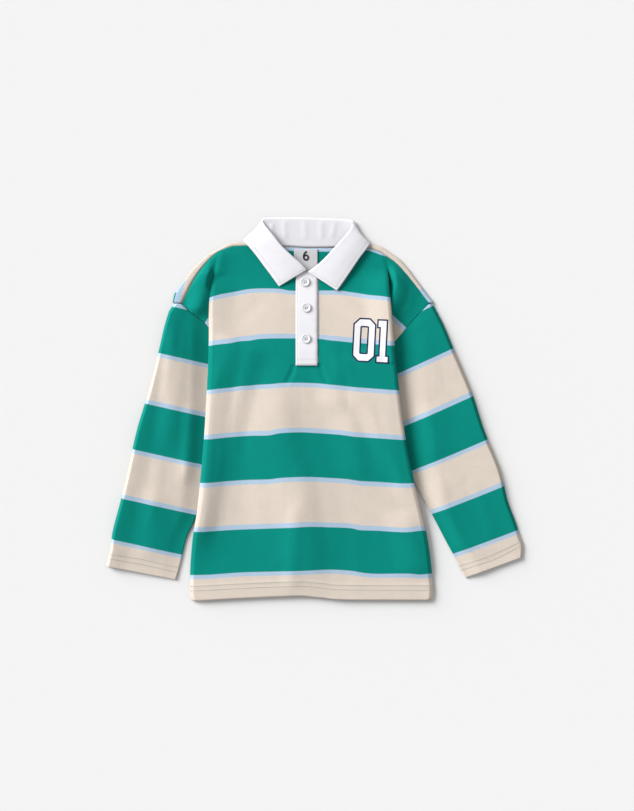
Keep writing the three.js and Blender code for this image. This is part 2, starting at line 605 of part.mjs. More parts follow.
function backPanel() {
  const row = armholePlaces();
  const count = row.length;
  const slitLeft = BACK_ACROSS.length - 1;
  const slitRight = count - BACK_ACROSS.length;
  const lower = BACK_ROWS.map((v, j) => row.map(([topX, topY], i) => {
    const share = i / (count - 1);
    const inSlit = i < slitLeft || i > slitRight;
    const top = inSlit ? topY - SEAM_GAP : topY;
    const hemY = lookUp(HEM_LINE, 'across', share, 'y');
    const y = mix(hemY, top, v);
    const left = bodyLeft(y);
    const right = bodyRight(y);
    const topShare = (topX - bodyLeft(topY)) / (bodyRight(topY) - bodyLeft(topY));
    const x = mix(left, right, mix(share, topShare, smooth(0.5, 1, v)));
    const height = v === 1 && inSlit ? SLEEVE_LIFT : backHeight(x, y);
    const turned = j < HEM_ROWS ? TURN_EXTRA : 0;
    return { face: [x, y, height + JERSEY + turned], lining: [x, y, height] };
  }));
  const seams = [
    ...LEFT_ARMHOLE.slice(0, WING_COLUMNS).map((place) => [place.x, place.y]),
    ...row,
    ...RIGHT_ARMHOLE.slice(0, WING_COLUMNS).reverse().map((place) => [place.x, place.y]),
  ];
  const columns = seams.length;
  const tops = seams.map((place, i) => {
    const u = i / (columns - 1);
    return along(BACK_TOP, u, ['x', 'y', 'fold']);
  });
  const upper = UPPER_ROWS.map((v) => seams.map(([x0, y0], i) => {
    const [x1, y1] = tops[i];
    const atSeam = i < WING_COLUMNS || i >= columns - WING_COLUMNS;
    const x = mix(x0, x1, v);
    const y = mix(y0 + (atSeam ? SEAM_GAP : 0), y1, v);
    const height = v === 0 && !atSeam ? backHeight(x0, y0 + 2 * ON_SEAM) : backHeight(x, y);
    return { face: [x, y, height + JERSEY], lining: [x, y, height] };
  }));
  const shared = upper[0].slice(WING_COLUMNS, columns - WING_COLUMNS);
  for (let i = slitLeft; i <= slitRight; i += 1) {
    lower[lower.length - 1][i] = shared[i];
  }
  return { lower, upper, tops };
}

// The strip of the back panel that folds over each shoulder to the seam on the front

const LEAST_LENGTH = 0.01;

function shoulderStrip(tops, from, to, seam) {
  const radius = SHOULDER_TOP / 2;
  const inner = radius - JERSEY;
  const strip = [];
  for (let k = 0; k < FOLD_ANGLES.length + 2; k += 1) strip.push([]);
  for (let i = from; i <= to; i += 1) {
    const [x, y] = tops[i];
    const [seamX, seamY] = along(seam, (i - from) / (to - from));
    const reach = Math.max(Math.hypot(seamX - x, seamY - y), LEAST_LENGTH);
    const inX = (seamX - x) / reach;
    const inY = (seamY - y) / reach;
    strip[0].push({ face: [x, y, JERSEY], lining: [x, y, 0] });
    FOLD_ANGLES.forEach((degrees, k) => {
      const angle = THREE.MathUtils.degToRad(degrees);
      const out = Math.cos(angle);
      const up = Math.sin(angle);
      strip[k + 1].push({
        face: [x - inX * inner * out, y - inY * inner * out, radius + inner * up],
        lining: [x - inX * radius * out, y - inY * radius * out, radius + radius * up],
      });
    });
    const endX = seamX - inX * SEAM_GAP;
    const endY = seamY - inY * SEAM_GAP;
    strip[FOLD_ANGLES.length + 1].push({
      face: [endX, endY, SHOULDER_TOP - JERSEY],
      lining: [endX, endY, SHOULDER_TOP],
    });
  }
  return strip;
}

function shoulderStrips(tops) {
  const folded = tops.map((place, i) => (place[2] > FOLD_MARK ? i : -1)).filter((i) => i >= 0);
  const gap = folded.findIndex((index, k) => k > 0 && index > folded[k - 1] + 1);
  const leftIndices = folded.slice(0, gap);
  const rightIndices = folded.slice(gap);
  const neckLeft = FRONT_TOP.slice(0, 4).reverse();
  const neckRight = FRONT_TOP.slice(10);
  const leftSeam = [...neckLeft, ...LEFT_SHOULDER.slice(1)].reverse();
  const rightSeam = [...neckRight, ...RIGHT_SHOULDER.slice(1)];
  const left = shoulderStrip(tops, leftIndices[0], leftIndices[leftIndices.length - 1], leftSeam);
  const right = shoulderStrip(tops, rightIndices[0], rightIndices[rightIndices.length - 1], rightSeam);
  return { left, right };
}

// What the strip takes from the front panel: a thick wall from the seam outwards

const STRIP_TRIM = { inside: 2 * SEAM_GAP, beyond: 12, top: 12, bottom: -4 };

function shoulderTrim(strip) {
  const ends = strip[strip.length - 1];
  const outer = strip[3];
  const lineOf = (places, move) => places.map(([startX, startY], i) => {
    const [endX, endY] = ends[i].face;
    const [outX, outY] = outer[i].lining;
    const reach = Math.max(Math.hypot(endX - outX, endY - outY), LEAST_LENGTH);
    const x = startX + (endX - outX) / reach * move;
    const y = startY + (endY - outY) / reach * move;
    return { face: [x, y, STRIP_TRIM.top], lining: [x, y, STRIP_TRIM.bottom] };
  });
  return clothWall([[
    lineOf(ends.map((pair) => pair.face), STRIP_TRIM.inside),
    lineOf(outer.map((pair) => pair.lining), -STRIP_TRIM.beyond),
  ]]);
}

// Sleeves: flattened open tubes, with a round fold along each edge and a turned cuff

const SLEEVE_UPPER = [0, 0.02, 0.06, 0.12, 0.2, 0.29, 0.38, 0.47, 0.56, 0.65, 0.74, 0.83, 0.92, 1];
const SLEEVE_LOWER = [1, 0.8, 0.6, 0.4, 0.2, 0];
const EDGE_ANGLES = [45, 0, -45];
const SLEEVE_SPLIT = 2;
const SPLIT_ROWS = 9;
const SLEEVE_REACH = 2;

function sleeve(name, rows, armhole, bodyEdge, sign) {
  const stations = [];
  const seam = armhole.map((place) => ({ x: place.x, y: place.y + SLEEVE_REACH }));
  rows.forEach((row, r) => {
    if (r > 0) {
      const parts = r < SPLIT_ROWS ? SLEEVE_SPLIT : 1;
      for (let k = 1; k < parts; k += 1) stations.push({ row: r - 1, t: k / parts });
    }
    stations.push({ row: r, t: 0 });
  });
  const rings = [];
  const across = (station, u) => {
    const low = rows[station.row];
    const high = rows[Math.min(station.row + 1, rows.length - 1)];
    const pick = (column) => mix(low[column], high[column], station.t);
    return [mix(pick('outerX'), pick('innerX'), u), mix(pick('outerY'), pick('innerY'), u), pick('puff')];
  };
  const ringOf = (placeAt, turned, length) => {
    const ring = [];
    const edge = JERSEY + SEAM_GAP / 2;
    const [outerX, outerY] = placeAt(0);
    const [innerX, innerY] = placeAt(1);
    const wide = Math.hypot(innerX - outerX, innerY - outerY);
    const inX = (innerX - outerX) / wide;
    const inY = (innerY - outerY) / wide;
    for (const u of SLEEVE_UPPER) {
      const [x, y, puff] = placeAt(mix(edge / wide, 1 - edge / wide, u));
      const fromOuter = smooth(0, SLEEVE_ROUND, u * wide);
      const fromInner = smooth(0, SLEEVE_ROUND, (1 - u) * wide);
      const fromBody = smooth(0, BODY_ROUND, sign * (x - bodyEdge(y)));
      let folds = 0;
      for (const fold of SLEEVE_FOLDS[name]) {
        const { across0, along0, across1, along1, half, height } = fold;
        folds += height * foldShape({ x0: across0, y0: along0, x1: across1, y1: along1, half }, u, length);
      }
      const space = Math.max(0, puff * fromOuter + folds) * Math.min(fromBody, fromInner);
      const top = 2 * JERSEY + SEAM_GAP + space + turned;
      ring.push({ face: [x, y, top], lining: [x, y, top - JERSEY - turned] });
    }
    const bend = (x, y, side) => EDGE_ANGLES.forEach((degrees) => {
      const angle = THREE.MathUtils.degToRad(side > 0 ? degrees : -degrees);
      const out = side * Math.cos(angle);
      const hole = SEAM_GAP / 2;
      ring.push({
        face: [x + inX * edge * out, y + inY * edge * out, edge + edge * Math.sin(angle)],
        lining: [x + inX * hole * out, y + inY * hole * out, edge + hole * Math.sin(angle)],
      });
    });
    const [endX, endY] = placeAt(1 - edge / wide);
    bend(endX, endY, 1);
    for (const u of SLEEVE_LOWER) {
      const [x, y] = placeAt(mix(edge / wide, 1 - edge / wide, u));
      ring.push({ face: [x, y, 0], lining: [x, y, JERSEY] });
    }
    const [startX, startY] = placeAt(edge / wide);
    bend(startX, startY, -1);
    ring.push(ring[0]);
    return sign < 0 ? ring.reverse() : ring;
  };
  rings.push(ringOf((u) => [...along(seam, u), SEAM_PUFF], 0, 0));
  stations.forEach((station) => {
    const place = (station.row + station.t + 1) / rows.length;
    const turned = station.row >= rows.length - 2 && station.t === 0 ? TURN_EXTRA / 2 : 0;
    rings.push(ringOf((u) => across(station, u), turned, place));
  });
  return toGeometry(toSolid(clothWall([rings])).subtract(bodySide(armhole, sign)));
}

// The collar: a stand that rises from the neckline, a round crease, and the fall with its two points

function collarWall() {
  const curve = (key) => new THREE.CatmullRomCurve3(
    COLLAR_LINES.map((row) => new THREE.Vector3(...row[key])), false, 'centripetal');
  const lines = { neck: curve('neck'), crease: curve('crease'), outer: curve('outer') };
  const turns = new THREE.CatmullRomCurve3(
    COLLAR_LINES.map((row, i) => new THREE.Vector3(i, row.turn, 0)), false, 'centripetal');
  const up = new THREE.Vector3(0, 0, 1);
  const sections = [];
  for (let s = 0; s <= COLLAR_STATIONS; s += 1) {
    const t = s / COLLAR_STATIONS;
    const neck = lines.neck.getPoint(t);
    const crease = lines.crease.getPoint(t);
    const outer = lines.outer.getPoint(t);
    const turn = THREE.MathUtils.degToRad(clamp(turns.getPoint(t).y, 0, 180));
    const middle = neck.clone().add(outer).multiplyScalar(0.5);
    const towards = crease.clone().sub(middle).setZ(0).normalize();
    const sideways = new THREE.Vector3(-towards.y, towards.x, 0);
    if (sideways.dot(outer.clone().sub(neck)) < 0) sideways.negate();
    const over = up.clone().multiplyScalar(Math.cos(turn)).add(sideways.multiplyScalar(Math.sin(turn)));
    const bendAt = (degrees) => {
      const angle = THREE.MathUtils.degToRad(degrees);
      return crease.clone()
        .add(towards.clone().multiplyScalar(CREASE_RADIUS * (Math.cos(angle) - 1)))
        .add(over.clone().multiplyScalar(CREASE_RADIUS * Math.sin(angle)));
    };
    const standEnd = bendAt(-90);
    const fallStart = bendAt(90);
    const section = [];
    for (const u of [0, 0.12, 0.4, 0.75]) section.push(neck.clone().lerp(standEnd, u));
    for (const degrees of [-90, -50, 0, 50, 90]) section.push(bendAt(degrees));
    for (const u of [0.25, 0.5, 0.75, 0.93, 1]) section.push(fallStart.clone().lerp(outer, u));
    sections.push(section);
  }
  const width = sections[0].length;
  const pairAt = (s, i) => {
    const before = sections[Math.max(s - 1, 0)][i];
    const after = sections[Math.min(s + 1, COLLAR_STATIONS)][i];
    const below = sections[s][Math.max(i - 1, 0)];
    const above = sections[s][Math.min(i + 1, width - 1)];
    const normal = after.clone().sub(before).cross(above.clone().sub(below)).normalize();
    const half = normal.multiplyScalar(COLLAR_WALL / 2);
    return {
      face: sections[s][i].clone().add(half).toArray(),
      lining: sections[s][i].clone().sub(half).toArray(),
    };
  };
  const patch = sections.map((section, s) => section.map((point, i) => pairAt(s, i)));
  return clothWall([patch.reverse()]);
}

// The placket: the under side fills the slit of the front panel, the upper side lies over both

const STRIP_ROWS = 12;
const STRIP_COLUMNS = 4;
const NEAR = { across: 6, along: 12 };

function stripWall(left, right, top, bottom, heightAt, wall) {
  const patch = [];
  for (let j = 0; j <= STRIP_ROWS; j += 1) {
    const y = mix(bottom, top, j / STRIP_ROWS);
    const line = [];
    for (let i = 0; i <= STRIP_COLUMNS; i += 1) {
      const x = mix(left, right, i / STRIP_COLUMNS);
      line.push(flatPair(x, y, heightAt(x, y), wall));
    }
    patch.push(line);
  }
  return clothWall([patch]);
}

const slitMiddle = (PLACKET_SLIT.left + PLACKET_SLIT.right) / 2;
const frontTop = (y) => frontHeight(slitMiddle, y) + JERSEY;

function highestFrontTop(y) {
  let top = 0;
  const { left, right } = PLACKET;
  for (const x of [left - NEAR.across, left, slitMiddle, right, right + NEAR.across]) {
    for (const dy of [-NEAR.along, 0, NEAR.along]) top = Math.max(top, frontHeight(x, y + dy) + JERSEY);
  }
  return top;
}

// A shirt button: a round lathe body with a raised rim, and the sewing holes cut through

function buttonGeometry() {
  const radius = BUTTON.diameter / 2;
  const profile = [
    new THREE.Vector2(0, 0),
    new THREE.Vector2(radius - BUTTON.foot, 0),
    new THREE.Vector2(radius, BUTTON.footHeight),
    new THREE.Vector2(radius, BUTTON.height - BUTTON.bevelHeight),
    new THREE.Vector2(radius - BUTTON.bevel, BUTTON.height),
    new THREE.Vector2(radius - BUTTON.rim, BUTTON.height - BUTTON.dish),
    new THREE.Vector2(radius - BUTTON.rim - BUTTON.rimSlope, BUTTON.height - BUTTON.well),
    new THREE.Vector2(0, BUTTON.height - BUTTON.well),
  ];
  let solid = toSolid(new THREE.LatheGeometry(profile, BUTTON.sides).rotateX(Math.PI / 2));
  for (let i = 0; i < BUTTON.holes; i += 1) {
    const angle = (i + 0.5) * (2 * Math.PI / BUTTON.holes);
    const { holeRadius, height, holeSides } = BUTTON;
    const hole = new THREE.CylinderGeometry(holeRadius, holeRadius, 4 * height, holeSides);
    hole.rotateX(Math.PI / 2);
    hole.translate(BUTTON.holeCircle * Math.cos(angle), BUTTON.holeCircle * Math.sin(angle), 0);
    solid = solid.subtract(toSolid(hole));
  }
  return toGeometry(solid);
}

const back = backPanel();
const strips = shoulderStrips(back.tops);
const backSolid = toSolid(clothWall([back.lower, back.upper, strips.left, strips.right]));
addPiece(
  'back_panel',
  toGeometry(backSolid.subtract(sleeveSide(LEFT_ARMHOLE, -1)).subtract(sleeveSide(RIGHT_ARMHOLE, 1))),
  FINISH.beige,
);
addPiece('front_panel', frontPanel(strips), FINISH.jersey);
addPiece('sleeve_left', sleeve('sleeve_left', LEFT_SLEEVE, LEFT_ARMHOLE, bodyLeft, -1), FINISH.jersey);
addPiece('sleeve_right', sleeve('sleeve_right', RIGHT_SLEEVE, RIGHT_ARMHOLE, bodyRight, 1), FINISH.jersey);
addPiece('collar', collarWall(), FINISH.twill);

addPiece('placket_under', stripWall(
  PLACKET_SLIT.left + SEAM_GAP,
  PLACKET_SLIT.right - SEAM_GAP,
  PLACKET.top,
  PLACKET_SLIT.bottom + SEAM_GAP,
  (x, y) => frontTop(y) - JERSEY,
  JERSEY,
), FINISH.twill);

const placketLow = (y) => highestFrontTop(y) + SEAM_GAP;
addPiece('placket_top', stripWall(
  PLACKET.left, PLACKET.right, PLACKET.top, PLACKET.bottom, (x, y) => placketLow(y), PLACKET.wall,
), FINISH.twill);

BUTTON_PLACES.forEach((place, i) => {
  const geometry = buttonGeometry();
  const seat = Math.max(...[-BUTTON.seat, 0, BUTTON.seat].map((dy) => placketLow(place.y + dy)));
  geometry.translate(place.x, place.y, seat + PLACKET.wall + SEAM_GAP);
  addPiece(`button_${i + 1}`, geometry, FINISH.button);
});

addPiece('neck_label', stripWall(
  LABEL.left, LABEL.right, LABEL.top, LABEL.bottom, () => JERSEY + SEAM_GAP, LABEL_WALL,
), FINISH.satin);

// The origin is on the ground under the middle of the garment's box

const box = new THREE.Box3().setFromObject(group);
const centre = box.getCenter(new THREE.Vector3());
group.position.set(-centre.x, -centre.y, -box.min.z);

export default group;
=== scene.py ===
# A child's long-sleeved striped rugby shirt, laid out flat on its back on a pale floor.
# Lengths in the tables are millimetres seen from above: +X is the viewer's right, +Y runs from the hem
# to the collar. The same outlines and heights as the part's solids are drawn here as soft cloth.

import math

import bpy
import numpy as np
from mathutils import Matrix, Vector


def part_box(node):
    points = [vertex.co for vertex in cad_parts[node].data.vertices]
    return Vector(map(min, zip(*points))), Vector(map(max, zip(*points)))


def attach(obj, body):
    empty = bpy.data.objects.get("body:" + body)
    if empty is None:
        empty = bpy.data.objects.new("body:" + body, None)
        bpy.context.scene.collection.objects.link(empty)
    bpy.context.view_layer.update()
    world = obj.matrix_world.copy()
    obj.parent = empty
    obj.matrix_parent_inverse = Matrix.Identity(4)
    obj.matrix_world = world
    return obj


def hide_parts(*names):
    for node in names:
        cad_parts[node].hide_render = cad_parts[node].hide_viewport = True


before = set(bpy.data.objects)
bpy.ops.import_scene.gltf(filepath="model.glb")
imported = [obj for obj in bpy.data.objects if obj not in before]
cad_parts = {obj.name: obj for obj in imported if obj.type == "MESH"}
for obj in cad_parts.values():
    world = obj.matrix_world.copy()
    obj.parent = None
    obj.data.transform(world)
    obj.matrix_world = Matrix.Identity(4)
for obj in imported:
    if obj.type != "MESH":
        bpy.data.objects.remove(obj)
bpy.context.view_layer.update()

bl_info = {
    "name": "Striped rugby shirt",
    "version": (1, 0, 0),
    "blender": (4, 5, 0),
    "location": "View3D > Sidebar > Shirt",
    "description": "Builds a child's striped rugby shirt laid out flat, with its stitching and its stage",
    "category": "Object",
}

MM = 0.001

# Sizes shared with the solids

JERSEY = 1.2
COLLAR_WALL = 1.4
LABEL_WALL = 0.9
TURN_EXTRA = 0.6
HEM_DEPTH = 20.5
SLEEVE_LIFT = 3.2
LIFT_HOLD = 12
LIFT_RAMP = 44
LIFT_FADE = 24
LEFT_LEAVES = (-212, -160)
RIGHT_LEAVES = (-170, -114)
SHOULDER_TOP = 3.8
NECK_SPACE = 1.8
BODY_SPACE = 2.2
EDGE_SPACE = 0.45
EDGE_ROUND = 6
SEAM_GAP = 0.3
PLEAT = {"left": 192.4, "right": 201.0, "left_rise": 3.6, "right_rise": 5.2, "reach": 42, "ramp": 30,
         "below": 30}
PLEAT_END = {"left": 115.7, "right": 96.0}
PLACKET = {"left": -27.2, "right": 3.4, "top": 190.6, "bottom": 62.0, "wall": 1.4}
SLIT = {"left": -23.3, "right": 5.0, "top": 200.0, "bottom": 66.0}
BUTTON = {"diameter": 13.2, "height": 2.6, "rim": 1.5, "well": 0.6, "hole": 0.75, "circle": 1.9}
BUTTON_PLACES = [(-14.2, 180.6), (-12.4, 144.1), (-12.8, 100.1)]
LABEL = {"left": -29.8, "right": 3.8, "top": 227.6, "bottom": 186.0}

NUMERAL = {"x": -12.9, "y": 215.6, "bowl_wide": 3.1, "bowl_high": 3.4, "stroke": 1.15, "flatness": 0.1}

# Sizes that only the cloth's look uses

SOFT_PUFF = 0.9
NECK_RANGE = (120, 200)
SHOULDER_RANGE = (170, 215)
FALL_SIDE = {"width": 5, "past": 4}
HEM_STEP = 4
HEM_WALL_STEP = 2
HEM_GROOVE = {"depth": 0.25, "half": 3}
SLIT_DROP = 1.1
ROLL_ANGLES = np.radians([150, 120, 90, 60, 30])
ROLL_WIDTH = 12
ROLL_FADE = 10
ROLL_GAP = 0.05
PLEAT_MEET = 3
WING_LEVEL = {"left": 3.0, "right": 7.0}
WING_STEPS = 34
PLACKET_REACH = 195.5
PLACKET_BELOW = 0.9
PLACKET_OVER = 0.4
PLACKET_COUNTS = {"top": (28, 110), "under": (12, 90)}
LABEL_COUNTS = (30, 36)
BUTTON_LIFT = 0.15
JOIN = 0.02


# Small maths


def smooth(start, end, value):
    """0 before start and 1 after end, with a soft change between them."""
    t = np.clip((value - start) / (end - start), 0, 1)
    return t * t * (3 - 2 * t)


def mix(a, b, t):
    """The first value where t is 0, the second where it is 1."""
    return a + (b - a) * t


def table(columns, rows):
    """A table of named columns, each one an array."""
    return dict(zip(columns.split(), np.array(rows, dtype=float).T))


def blend_points(points, t):
    """Points of a smooth curve through a list of points, at fractions of its number of spans."""
    points = np.asarray(points, dtype=float)
    padded = np.vstack([2 * points[0] - points[1], points, 2 * points[-1] - points[-2]])
    place = np.clip(np.asarray(t, dtype=float), 0, 1) * (len(points) - 1)
    span = np.minimum(place.astype(int), len(points) - 2)
    w = (place - span)[:, None]
    p0, p1, p2, p3 = (padded[span + k] for k in range(4))
    step = [np.maximum(np.linalg.norm(b - a, axis=1), 1e-4)[:, None] ** 0.5 for a, b in
            ((p0, p1), (p1, p2), (p2, p3))]
    start = (p1 - p0) / step[0] - (p2 - p0) / (step[0] + step[1]) + (p2 - p1) / step[1]
    end = (p2 - p1) / step[1] - (p3 - p1) / (step[1] + step[2]) + (p3 - p2) / step[2]
    start, end = start * step[1], end * step[1]
    return (p1 + start * w + (3 * (p2 - p1) - 2 * start - end) * w ** 2
            + (2 * (p1 - p2) + start + end) * w ** 3)


def eased(rows, pieces=6):
    """The table with rows added between its own, on smooth curves."""
    names = list(rows)
    points = np.array([rows[name] for name in names]).T
    t = np.linspace(0, 1, (len(points) - 1) * pieces + 1)
    return dict(zip(names, blend_points(points, t).T))


def look_up(rows, key, value, column):
    """One column of a table read at a value of another column."""
    order = np.argsort(rows[key])
    return np.interp(value, rows[key][order], rows[column][order])


def along(rows, fraction, columns=("x", "y")):
    """Places part of the way along a table of places, by the length of the line through them."""
    steps = np.hypot(np.diff(rows["x"]), np.diff(rows["y"]))
    length = np.concatenate([[0], np.cumsum(steps)])
    want = np.clip(fraction, 0, 1) * length[-1]
    return [np.interp(want, length, rows[column]) for column in columns]


def part_of(rows, start, end):
    return {name: values[start:end] for name, values in rows.items()}


def joined(*several):
    return {name: np.concatenate([rows[name] for rows in several]) for name in several[0]}


def turned(rows):
    return {name: values[::-1] for name, values in rows.items()}


# Outlines, seen from above

BODY_EDGES = eased(table("y left right", [
    (-273, -174.0, 163.0),
    (-266, -177.0, 167.0),
    (-228, -177.0, 165.4),
    (-185, -173.6, 159.8),
    (-143, -166.7, 150.5),
    (-100, -162.2, 139.9),
    (-43, -157.2, 128.5),
    (13.5, -153.6, 120.7),
    (91.6, -150.5, 112.8),
    (155.5, -149.8, 107.6),
    (192.4, -144.1, 104.6),
    (201, -142.0, 103.7),
    (224.5, -137.0, 100.0),
]))

HEM_LINE = eased(table("across y", [
    (0.0, -271.0),
    (0.05, -270.5),
    (0.17, -268.1),
    (0.38, -264.8),
    (0.45, -264.0),
    (0.55, -266.8),
    (0.72, -269.7),
    (1.0, -270.0),
]))

FRONT_TOP = table("x y", [
    (-137.0, 224.5),
    (-117.0, 231.5),
    (-97.0, 232.2),
    (-88.0, 229.5),
    (-75.3, 212.3),
    (-56.8, 199.5),
    (-27.0, 192.2),
    (3.0, 192.2),
    (31.2, 199.5),
    (49.7, 213.7),
    (60.0, 229.0),
    (76.7, 228.6),
    (93.7, 222.2),
    (100.0, 218.0),
])

LEFT_SHOULDER = eased(table("x y", [
    (-137.0, 224.5), (-150.5, 212.3), (-169.4, 187.7), (-180.9, 165.9), (-188.9, 149.4),
]))
RIGHT_SHOULDER = eased(table("x y", [
    (100.0, 218.0), (116.0, 206.6), (130.6, 190.6), (144.8, 173.1), (161.0, 151.4),
]))
LEFT_ARMHOLE = table("x y", [
    (-200.2, 150.7), (-188.9, 149.0), (-178.0, 138.5), (-157.6, 124.3), (-150.5, 115.7),
    (-132.1, 99.4), (-106.5, 81.6),
])
RIGHT_ARMHOLE = table("x y", [
    (166.7, 150.7), (161.0, 149.2), (147.7, 135.6), (132.1, 118.1), (112.9, 96.0),
    (89.0, 76.0), (61.1, 61.8),
])

BACK_TOP = table("x y fold", [
    (-200.2, 151.2, 1),
    (-198.0, 163.0, 1),
    (-187.4, 177.5, 1),
    (-171.8, 199.0, 1),
    (-150.5, 219.0, 1),
    (-119.3, 235.4, 1),
    (-89.5, 236.0, 1),
    (-86.5, 230.3, 0),
    (-47.6, 230.6, 0),
    (-11.8, 228.8, 0),
    (27.4, 228.8, 0),
    (58.5, 229.6, 0),
    (61.6, 234.6, 1),
    (76.7, 234.4, 1),
    (93.7, 229.3, 1),
    (117.9, 212.3, 1),
    (130.6, 198.1, 1),
    (144.8, 178.9, 1),
    (159.0, 160.2, 1),
    (166.7, 151.2, 1),
])

SLEEVE_COLUMNS = "outer_x outer_y inner_x inner_y puff"
LEFT_SLEEVE = table(SLEEVE_COLUMNS, [
    (-207.5, 139.0, -109.5, 66.0, 2.0),
    (-213.5, 119.0, -113.5, 52.0, 2.4),
    (-221.5, 84.5, -121.0, 28.0, 2.4),
    (-235.7, 27.7, -134.5, -18.0, 2.4),
    (-252.8, -29.1, -147.5, -70.0, 2.6),
    (-265.5, -85.9, -159.0, -116.0, 2.6),
    (-276.0, -130.0, -168.6, -152.0, 2.4),
    (-286.8, -171.1, -182.0, -181.0, 2.2),
    (-291.4, -201.0, -190.0, -214.0, 1.8),
    (-292.8, -206.0, -192.2, -222.5, 1.6),
    (-296.8, -221.8, -197.2, -241.5, 1.6),
])
RIGHT_SLEEVE = table(SLEEVE_COLUMNS, [
    (172.5, 139.5, 64.0, 50.0, 2.0),
    (183.0, 119.0, 69.5, 40.0, 2.4),
    (197.4, 84.5, 81.0, 18.0, 2.4),
    (221.5, 27.7, 103.5, -24.0, 2.6),
    (240.0, -29.1, 124.0, -66.0, 2.8),
    (263.0, -85.9, 144.0, -110.0, 2.8),
    (273.0, -128.0, 165.0, -147.0, 2.6),
    (284.0, -158.0, 186.0, -187.0, 2.4),
    (292.6, -184.0, 202.5, -217.5, 2.0),
    (295.4, -192.0, 205.5, -224.0, 1.8),
    (294.8, -209.0, 213.6, -238.6, 1.6),
])

# The collar's neck line, crease and free edge, from the left front edge round the back to the right one

COLLAR_LINES = {
    "neck": [
        (-14.5, 194.2, 4.4), (-27.0, 194.2, 4.2), (-55.4, 202.0, 4.2), (-73.2, 214.4, 4.2),
        (-81.4, 224.0, 4.0), (-83.6, 231.4, 2.6), (-76.0, 232.2, 1.3), (-62.0, 232.0, 0.9),
        (-36.0, 231.6, 0.9), (-10.0, 230.4, 0.9), (18.0, 230.4, 0.9), (40.0, 231.0, 0.9),
        (51.0, 231.4, 1.3), (56.6, 230.6, 2.6), (54.0, 224.4, 4.0), (47.4, 215.6, 4.2),
        (29.6, 202.0, 4.2), (4.6, 194.8, 4.2), (-8.0, 194.2, 4.4),
    ],
    "crease": [
        (-12.2, 197.6, 8.4), (-19.5, 205.6, 9.8), (-33.0, 217.5, 10.6), (-47.5, 231.4, 10.8),
        (-58.5, 245.6, 10.4), (-71.0, 261.5, 8.0), (-74.0, 269.6, 4.8), (-62.0, 271.6, 3.0),
        (-36.0, 272.0, 2.9), (-10.0, 271.6, 2.9), (18.0, 270.4, 2.9), (42.0, 269.2, 3.0),
        (54.6, 266.6, 4.8), (50.6, 255.6, 8.0), (38.6, 240.6, 10.4), (27.0, 227.8, 10.8),
        (13.0, 212.6, 10.6), (-1.6, 200.0, 9.6), (-9.6, 194.6, 8.2),
    ],
    "outer": [
        (-50.8, 174.2, 8.0), (-58.6, 185.0, 8.0), (-72.0, 203.0, 7.6), (-85.0, 220.4, 7.2),
        (-96.0, 233.6, 6.4), (-101.6, 240.8, 4.0), (-88.0, 243.0, 1.2), (-64.0, 238.6, 0.95),
        (-37.0, 238.0, 0.95), (-10.0, 237.6, 0.95), (18.0, 237.0, 0.95), (42.0, 237.0, 0.95),
        (66.0, 239.6, 1.2), (77.4, 235.6, 5.4), (73.6, 228.4, 9.0), (64.0, 215.6, 11.0),
        (53.0, 199.4, 11.4), (39.6, 179.6, 11.0), (31.2, 168.0, 10.6),
    ],
    "turn": [0, 0, 0, 6, 24, 72, 140, 180, 180, 180, 180, 180, 140, 72, 24, 6, 0, 0, 0],
}
CREASE_RADIUS = 1.5

# Creases pressed into the cloth: the line that each follows, its half width and how far it stands up

FRONT_CREASES = [
    {"line": [(-131, 80), (-146, 10), (-151, -80), (-160, -180)], "half": 12, "rise": 0.8},
    {"line": [(-84, 96), (-104, 10), (-112, -90), (-126, -200)], "half": 20, "rise": 0.5},
    {"line": [(60, 20), (71, -46), (84, -110)], "half": 18, "rise": -0.7},
    {"line": [(96, 40), (112, -60), (128, -140)], "half": 15, "rise": 0.5},
    {"line": [(40, 176), (66, 150), (80, 128)], "half": 14, "rise": -0.5},
    {"line": [(-60, 168), (-92, 140), (-112, 118)], "half": 16, "rise": -0.4},
    {"line": [(-70, -30), (-64, -120), (-60, -230)], "half": 20, "rise": -0.4},
    {"line": [(64, -130), (58, -200), (60, -262)], "half": 18, "rise": 0.4},
    {"line": [(-29, 66), (-33, 52), (-42, 34)], "half": 6, "rise": -1.2},
    {"line": [(6, 66), (10, 52), (20, 36)], "half": 6, "rise": -1.2},
]
WING_CREASES = [
    {"line": [(-150, 222), (-163, 200), (-172, 180), (-178, 160)], "half": 14, "rise": 0.8},
]
SLEEVE_CREASES = [
    {"line": [(-200, 130), (-206, 60), (-214, 0)], "half": 12, "rise": 0.8},
    {"line": [(-218, -60), (-226, -120), (-236, -176)], "half": 15, "rise": 0.7},
    {"line": [(150, 110), (166, 66), (176, 20)], "half": 14, "rise": 0.6},
    {"line": [(222, -90), (240, -140), (254, -190)], "half": 15, "rise": 0.7},
]

# Falls, where the cloth drops towards the right of a line and comes up again slowly: half the width of the
# drop, the width of the shelf on its left, and how far it drops

